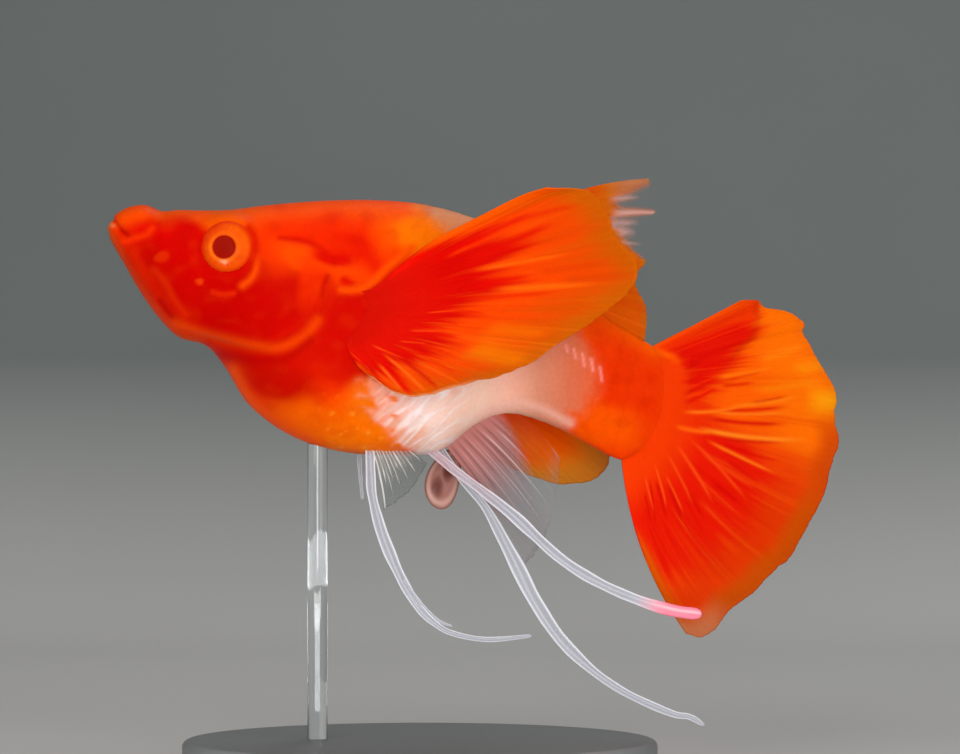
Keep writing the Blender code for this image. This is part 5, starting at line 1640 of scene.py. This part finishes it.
def ribbon_grid(path, widths):
    """Places, share along and share across for a flat tape with thicker edges along a path."""
    centre = even_curve(path, RIBBON_ROWS + 1)
    ahead = np.gradient(centre, axis=0)
    ahead /= np.linalg.norm(ahead, axis=1, keepdims=True)
    across = np.cross(ahead, (0.0, 1.0, 0.0))
    across /= np.linalg.norm(across, axis=1, keepdims=True)
    through = np.cross(across, ahead)
    run = np.linspace(0, 1, RIBBON_ROWS + 1)
    angle = np.linspace(0, 2 * math.pi, RIBBON_AROUND + 1)
    sway = 1 + 0.06 * np.sin(run * 23) + 0.04 * np.sin(run * 51 + 1)
    tip = np.sqrt(np.clip(1 - ((run - (1 - BLUNT_END)) / BLUNT_END).clip(0, 1) ** 2, 0, 1))
    half_width = spaced(run, widths) / 2 * sway * tip
    half_thickness = RIBBON_THICKNESS / 2 * (0.35 + 0.65 * np.abs(np.cos(angle)) ** 2)[None] * tip[:, None]
    places = (centre[:, None] + across[:, None] * (np.cos(angle)[None] * half_width[:, None])[..., None]
              + through[:, None] * (np.sin(angle)[None] * half_thickness)[..., None])
    places[:, -1] = places[:, 0]
    return (places, np.broadcast_to(run[:, None], places.shape[:2]),
            np.broadcast_to(np.cos(angle)[None], places.shape[:2]))


print("a ribbon has", RIBBON_ROWS, "rows of", RIBBON_AROUND, "faces")

# %% [markdown]
# The tape is clear with white edges and a fine wavy line along its middle. The one ribbon that ends in a
# pink tip gets its own colours there, with a painted highlight along the tip.

# %% Ribbon rays

ribbon_paint = fin_material("clear ribbon ray", 0.3, 0.0, "#FFFFFF")
for name, (points, depths, widths, nodes) in RIBBONS.items():
    places, run, across = ribbon_grid(with_depth(points, depths), widths)
    edge = smoothstep(0.5, 0.95, np.abs(across))
    edge = np.maximum(edge, 0.45 * np.exp(-((across - 0.2 * np.sin(9 * run)) / 0.16) ** 2))
    tint = layered("#B4B6C2", ("#F0F0F8", edge))
    solidity = 0.38 + 0.46 * edge
    if name == "ribbon_anal_front":
        tip = smoothstep(0.78, 0.9, run)
        tint = layered(
            tint,
            ("#E0B4BC", 0.7 * smoothstep(0.35, 0.0, run)),
            ("#EE8098", tip),
            # painted highlight along the pink tip
            ("#FFD0D8", 0.8 * tip * np.exp(-((across - 0.25) / 0.22) ** 2)))
        solidity = solidity + (0.95 - solidity) * smoothstep(0.75, 0.86, run)
    ribbon, row, column = grid_piece(name, places)
    paint(ribbon, tint[row, column], solidity[row, column])
    weld(ribbon)
    finish_piece(ribbon, ribbon_paint, "ray_white", *nodes)

# %% [markdown]
# ## The lobe under the vent
# A small ear-shaped lobe of bare flesh hangs behind the pelvic fins. It starts as a ball, is flattened
# and bent, and is dished on its near side. Painted shade darkens the dish, and a painted highlight runs
# round its rim.

# %% Vent lobe

LOBE = (1.85, 1.75, 23.9)  # its middle
LOBE_HALF = (1.35, 0.8, 2.55)  # its half sizes
LOBE_TURN = math.radians(16)
deselect()
bpy.ops.mesh.primitive_uv_sphere_add(segments=64, ring_count=48, radius=1)
lobe = bpy.context.object
lobe.name = "vent_lobe"
unit = point_array(lobe) * MM
x, y, z = unit[:, 0], unit[:, 1], unit[:, 2]
near = smoothstep(0.2, -0.5, y)
dish = near * np.maximum(np.exp(-((x - 0.2) / 0.28) ** 2 - ((z - 0.25) / 0.3) ** 2),
                         0.9 * np.exp(-((x + 0.25) / 0.3) ** 2 - ((z + 0.35) / 0.34) ** 2))
rim = near * np.exp(-((np.hypot(x, z) - 0.82) / 0.12) ** 2)
shaped_x = (x * (1 - 0.2 * z) + 0.22 * z ** 2) * LOBE_HALF[0]
shaped_z = z * LOBE_HALF[2]
shaped = np.stack([
    LOBE[0] + shaped_x * math.cos(LOBE_TURN) + shaped_z * math.sin(LOBE_TURN),
    LOBE[1] + (y + 0.7 * dish) * LOBE_HALF[1],
    LOBE[2] - shaped_x * math.sin(LOBE_TURN) + shaped_z * math.cos(LOBE_TURN),
], axis=1)
put_points(lobe, shaped)
# painted shade in the dish and a painted highlight round the rim
tint = layered("#A06A60", ("#74423A", np.clip(dish * 1.1, 0, 1)), ("#D8AA9C", 0.8 * rim))
paint(lobe, tint, np.full(len(shaped), 0.96))
finish_piece(lobe, fin_material("bare flesh", 0.35, 0.2, "#FFFFFF"), "flesh_pink", "vent_papilla")

# %% [markdown]
# ## The stand
# The stand is plain, so that the fish is what one sees. The base is moulded ABS with a fine satin grain,
# which takes the edge off its shine. The rod is cast acrylic, clear and polished, and bends light as
# acrylic does.

# %% Stand materials

satin, tree, shader = new_material("satin ABS", {})
place = node(tree, "ShaderNodeTexCoord")
texture = node(tree, "ShaderNodeTexNoise", {"Scale": 1 / (0.35 * MM), "Detail": 3.0},
               {"Vector": (place, "Object")})
tone = node(tree, "ShaderNodeMix", {"A": rgba("#6E7172"), "B": rgba("#7A7D7E")},
            {"Factor": (texture, "Fac")}, data_type="RGBA")
shine = node(tree, "ShaderNodeMapRange", {"To Min": 0.38, "To Max": 0.5}, {"Value": (texture, "Fac")})
bump = node(tree, "ShaderNodeBump", {"Strength": 0.15, "Distance": 0.03 * MM}, {"Height": (texture, "Fac")})
feed(tree, shader, {"Base Color": (tone, "Result"), "Roughness": (shine, "Result"),
                    "Normal": (bump, "Normal")})

acrylic, tree, shader = new_material("polished acrylic", {
    "Base Color": rgba("#F4F8FA"), "Transmission Weight": 1.0, "IOR": 1.49})
place = node(tree, "ShaderNodeTexCoord")
polish = node(tree, "ShaderNodeTexNoise", {"Scale": 1 / (2.0 * MM)}, {"Vector": (place, "Object")})
shine = node(tree, "ShaderNodeMapRange", {"To Min": 0.01, "To Max": 0.05}, {"Value": (polish, "Fac")})
feed(tree, shader, {"Roughness": (shine, "Result")})
print("made", satin.name, "and", acrylic.name)

# %% [markdown]
# The base is a turned disc: a cylinder drawn out to an oval, with a bevel round both rims. An inset on
# the top and on the underside keeps the shading of these flat faces apart from that of the rim. The rod
# is a cylinder that ends in the belly.

# %% Base and rod

BASE_SIZE = (38.0, 26.0, 3.0)
ROD_RADIUS, ROD_X, ROD_TOP = 0.8, -8.2, 27.0
ROD_LENGTH = ROD_TOP - BASE_SIZE[2]
deselect()
bpy.ops.mesh.primitive_cylinder_add(
    vertices=192, radius=0.5, depth=1, location=(0, 0, BASE_SIZE[2] / 2 * MM))
base = bpy.context.object
base.name = "display_base"
base.scale = [size * MM for size in BASE_SIZE]
bpy.ops.object.transform_apply(location=True, scale=True)
bevel(base, "rims", 0.5 * MM, 6, 60)
for face in base.data.polygons:
    face.select = len(face.vertices) > 4
bpy.ops.object.mode_set(mode="EDIT")
bpy.ops.mesh.select_mode(type="FACE")
bpy.ops.mesh.inset(thickness=0.3 * MM, use_individual=True)
bpy.ops.object.mode_set(mode="OBJECT")
finish_piece(base, satin, "stand_base", "stand_base")

bpy.ops.mesh.primitive_cylinder_add(
    vertices=96, radius=ROD_RADIUS * MM, depth=ROD_LENGTH * MM,
    location=(ROD_X * MM, 0, (BASE_SIZE[2] + ROD_LENGTH / 2) * MM))
rod = bpy.context.object
rod.name = "clear_rod"
bpy.ops.object.transform_apply(location=True)
bevel(rod, "edges", 0.06 * MM, 3, 60)
finish_piece(rod, acrylic, "stand_rod", "stand_rod")
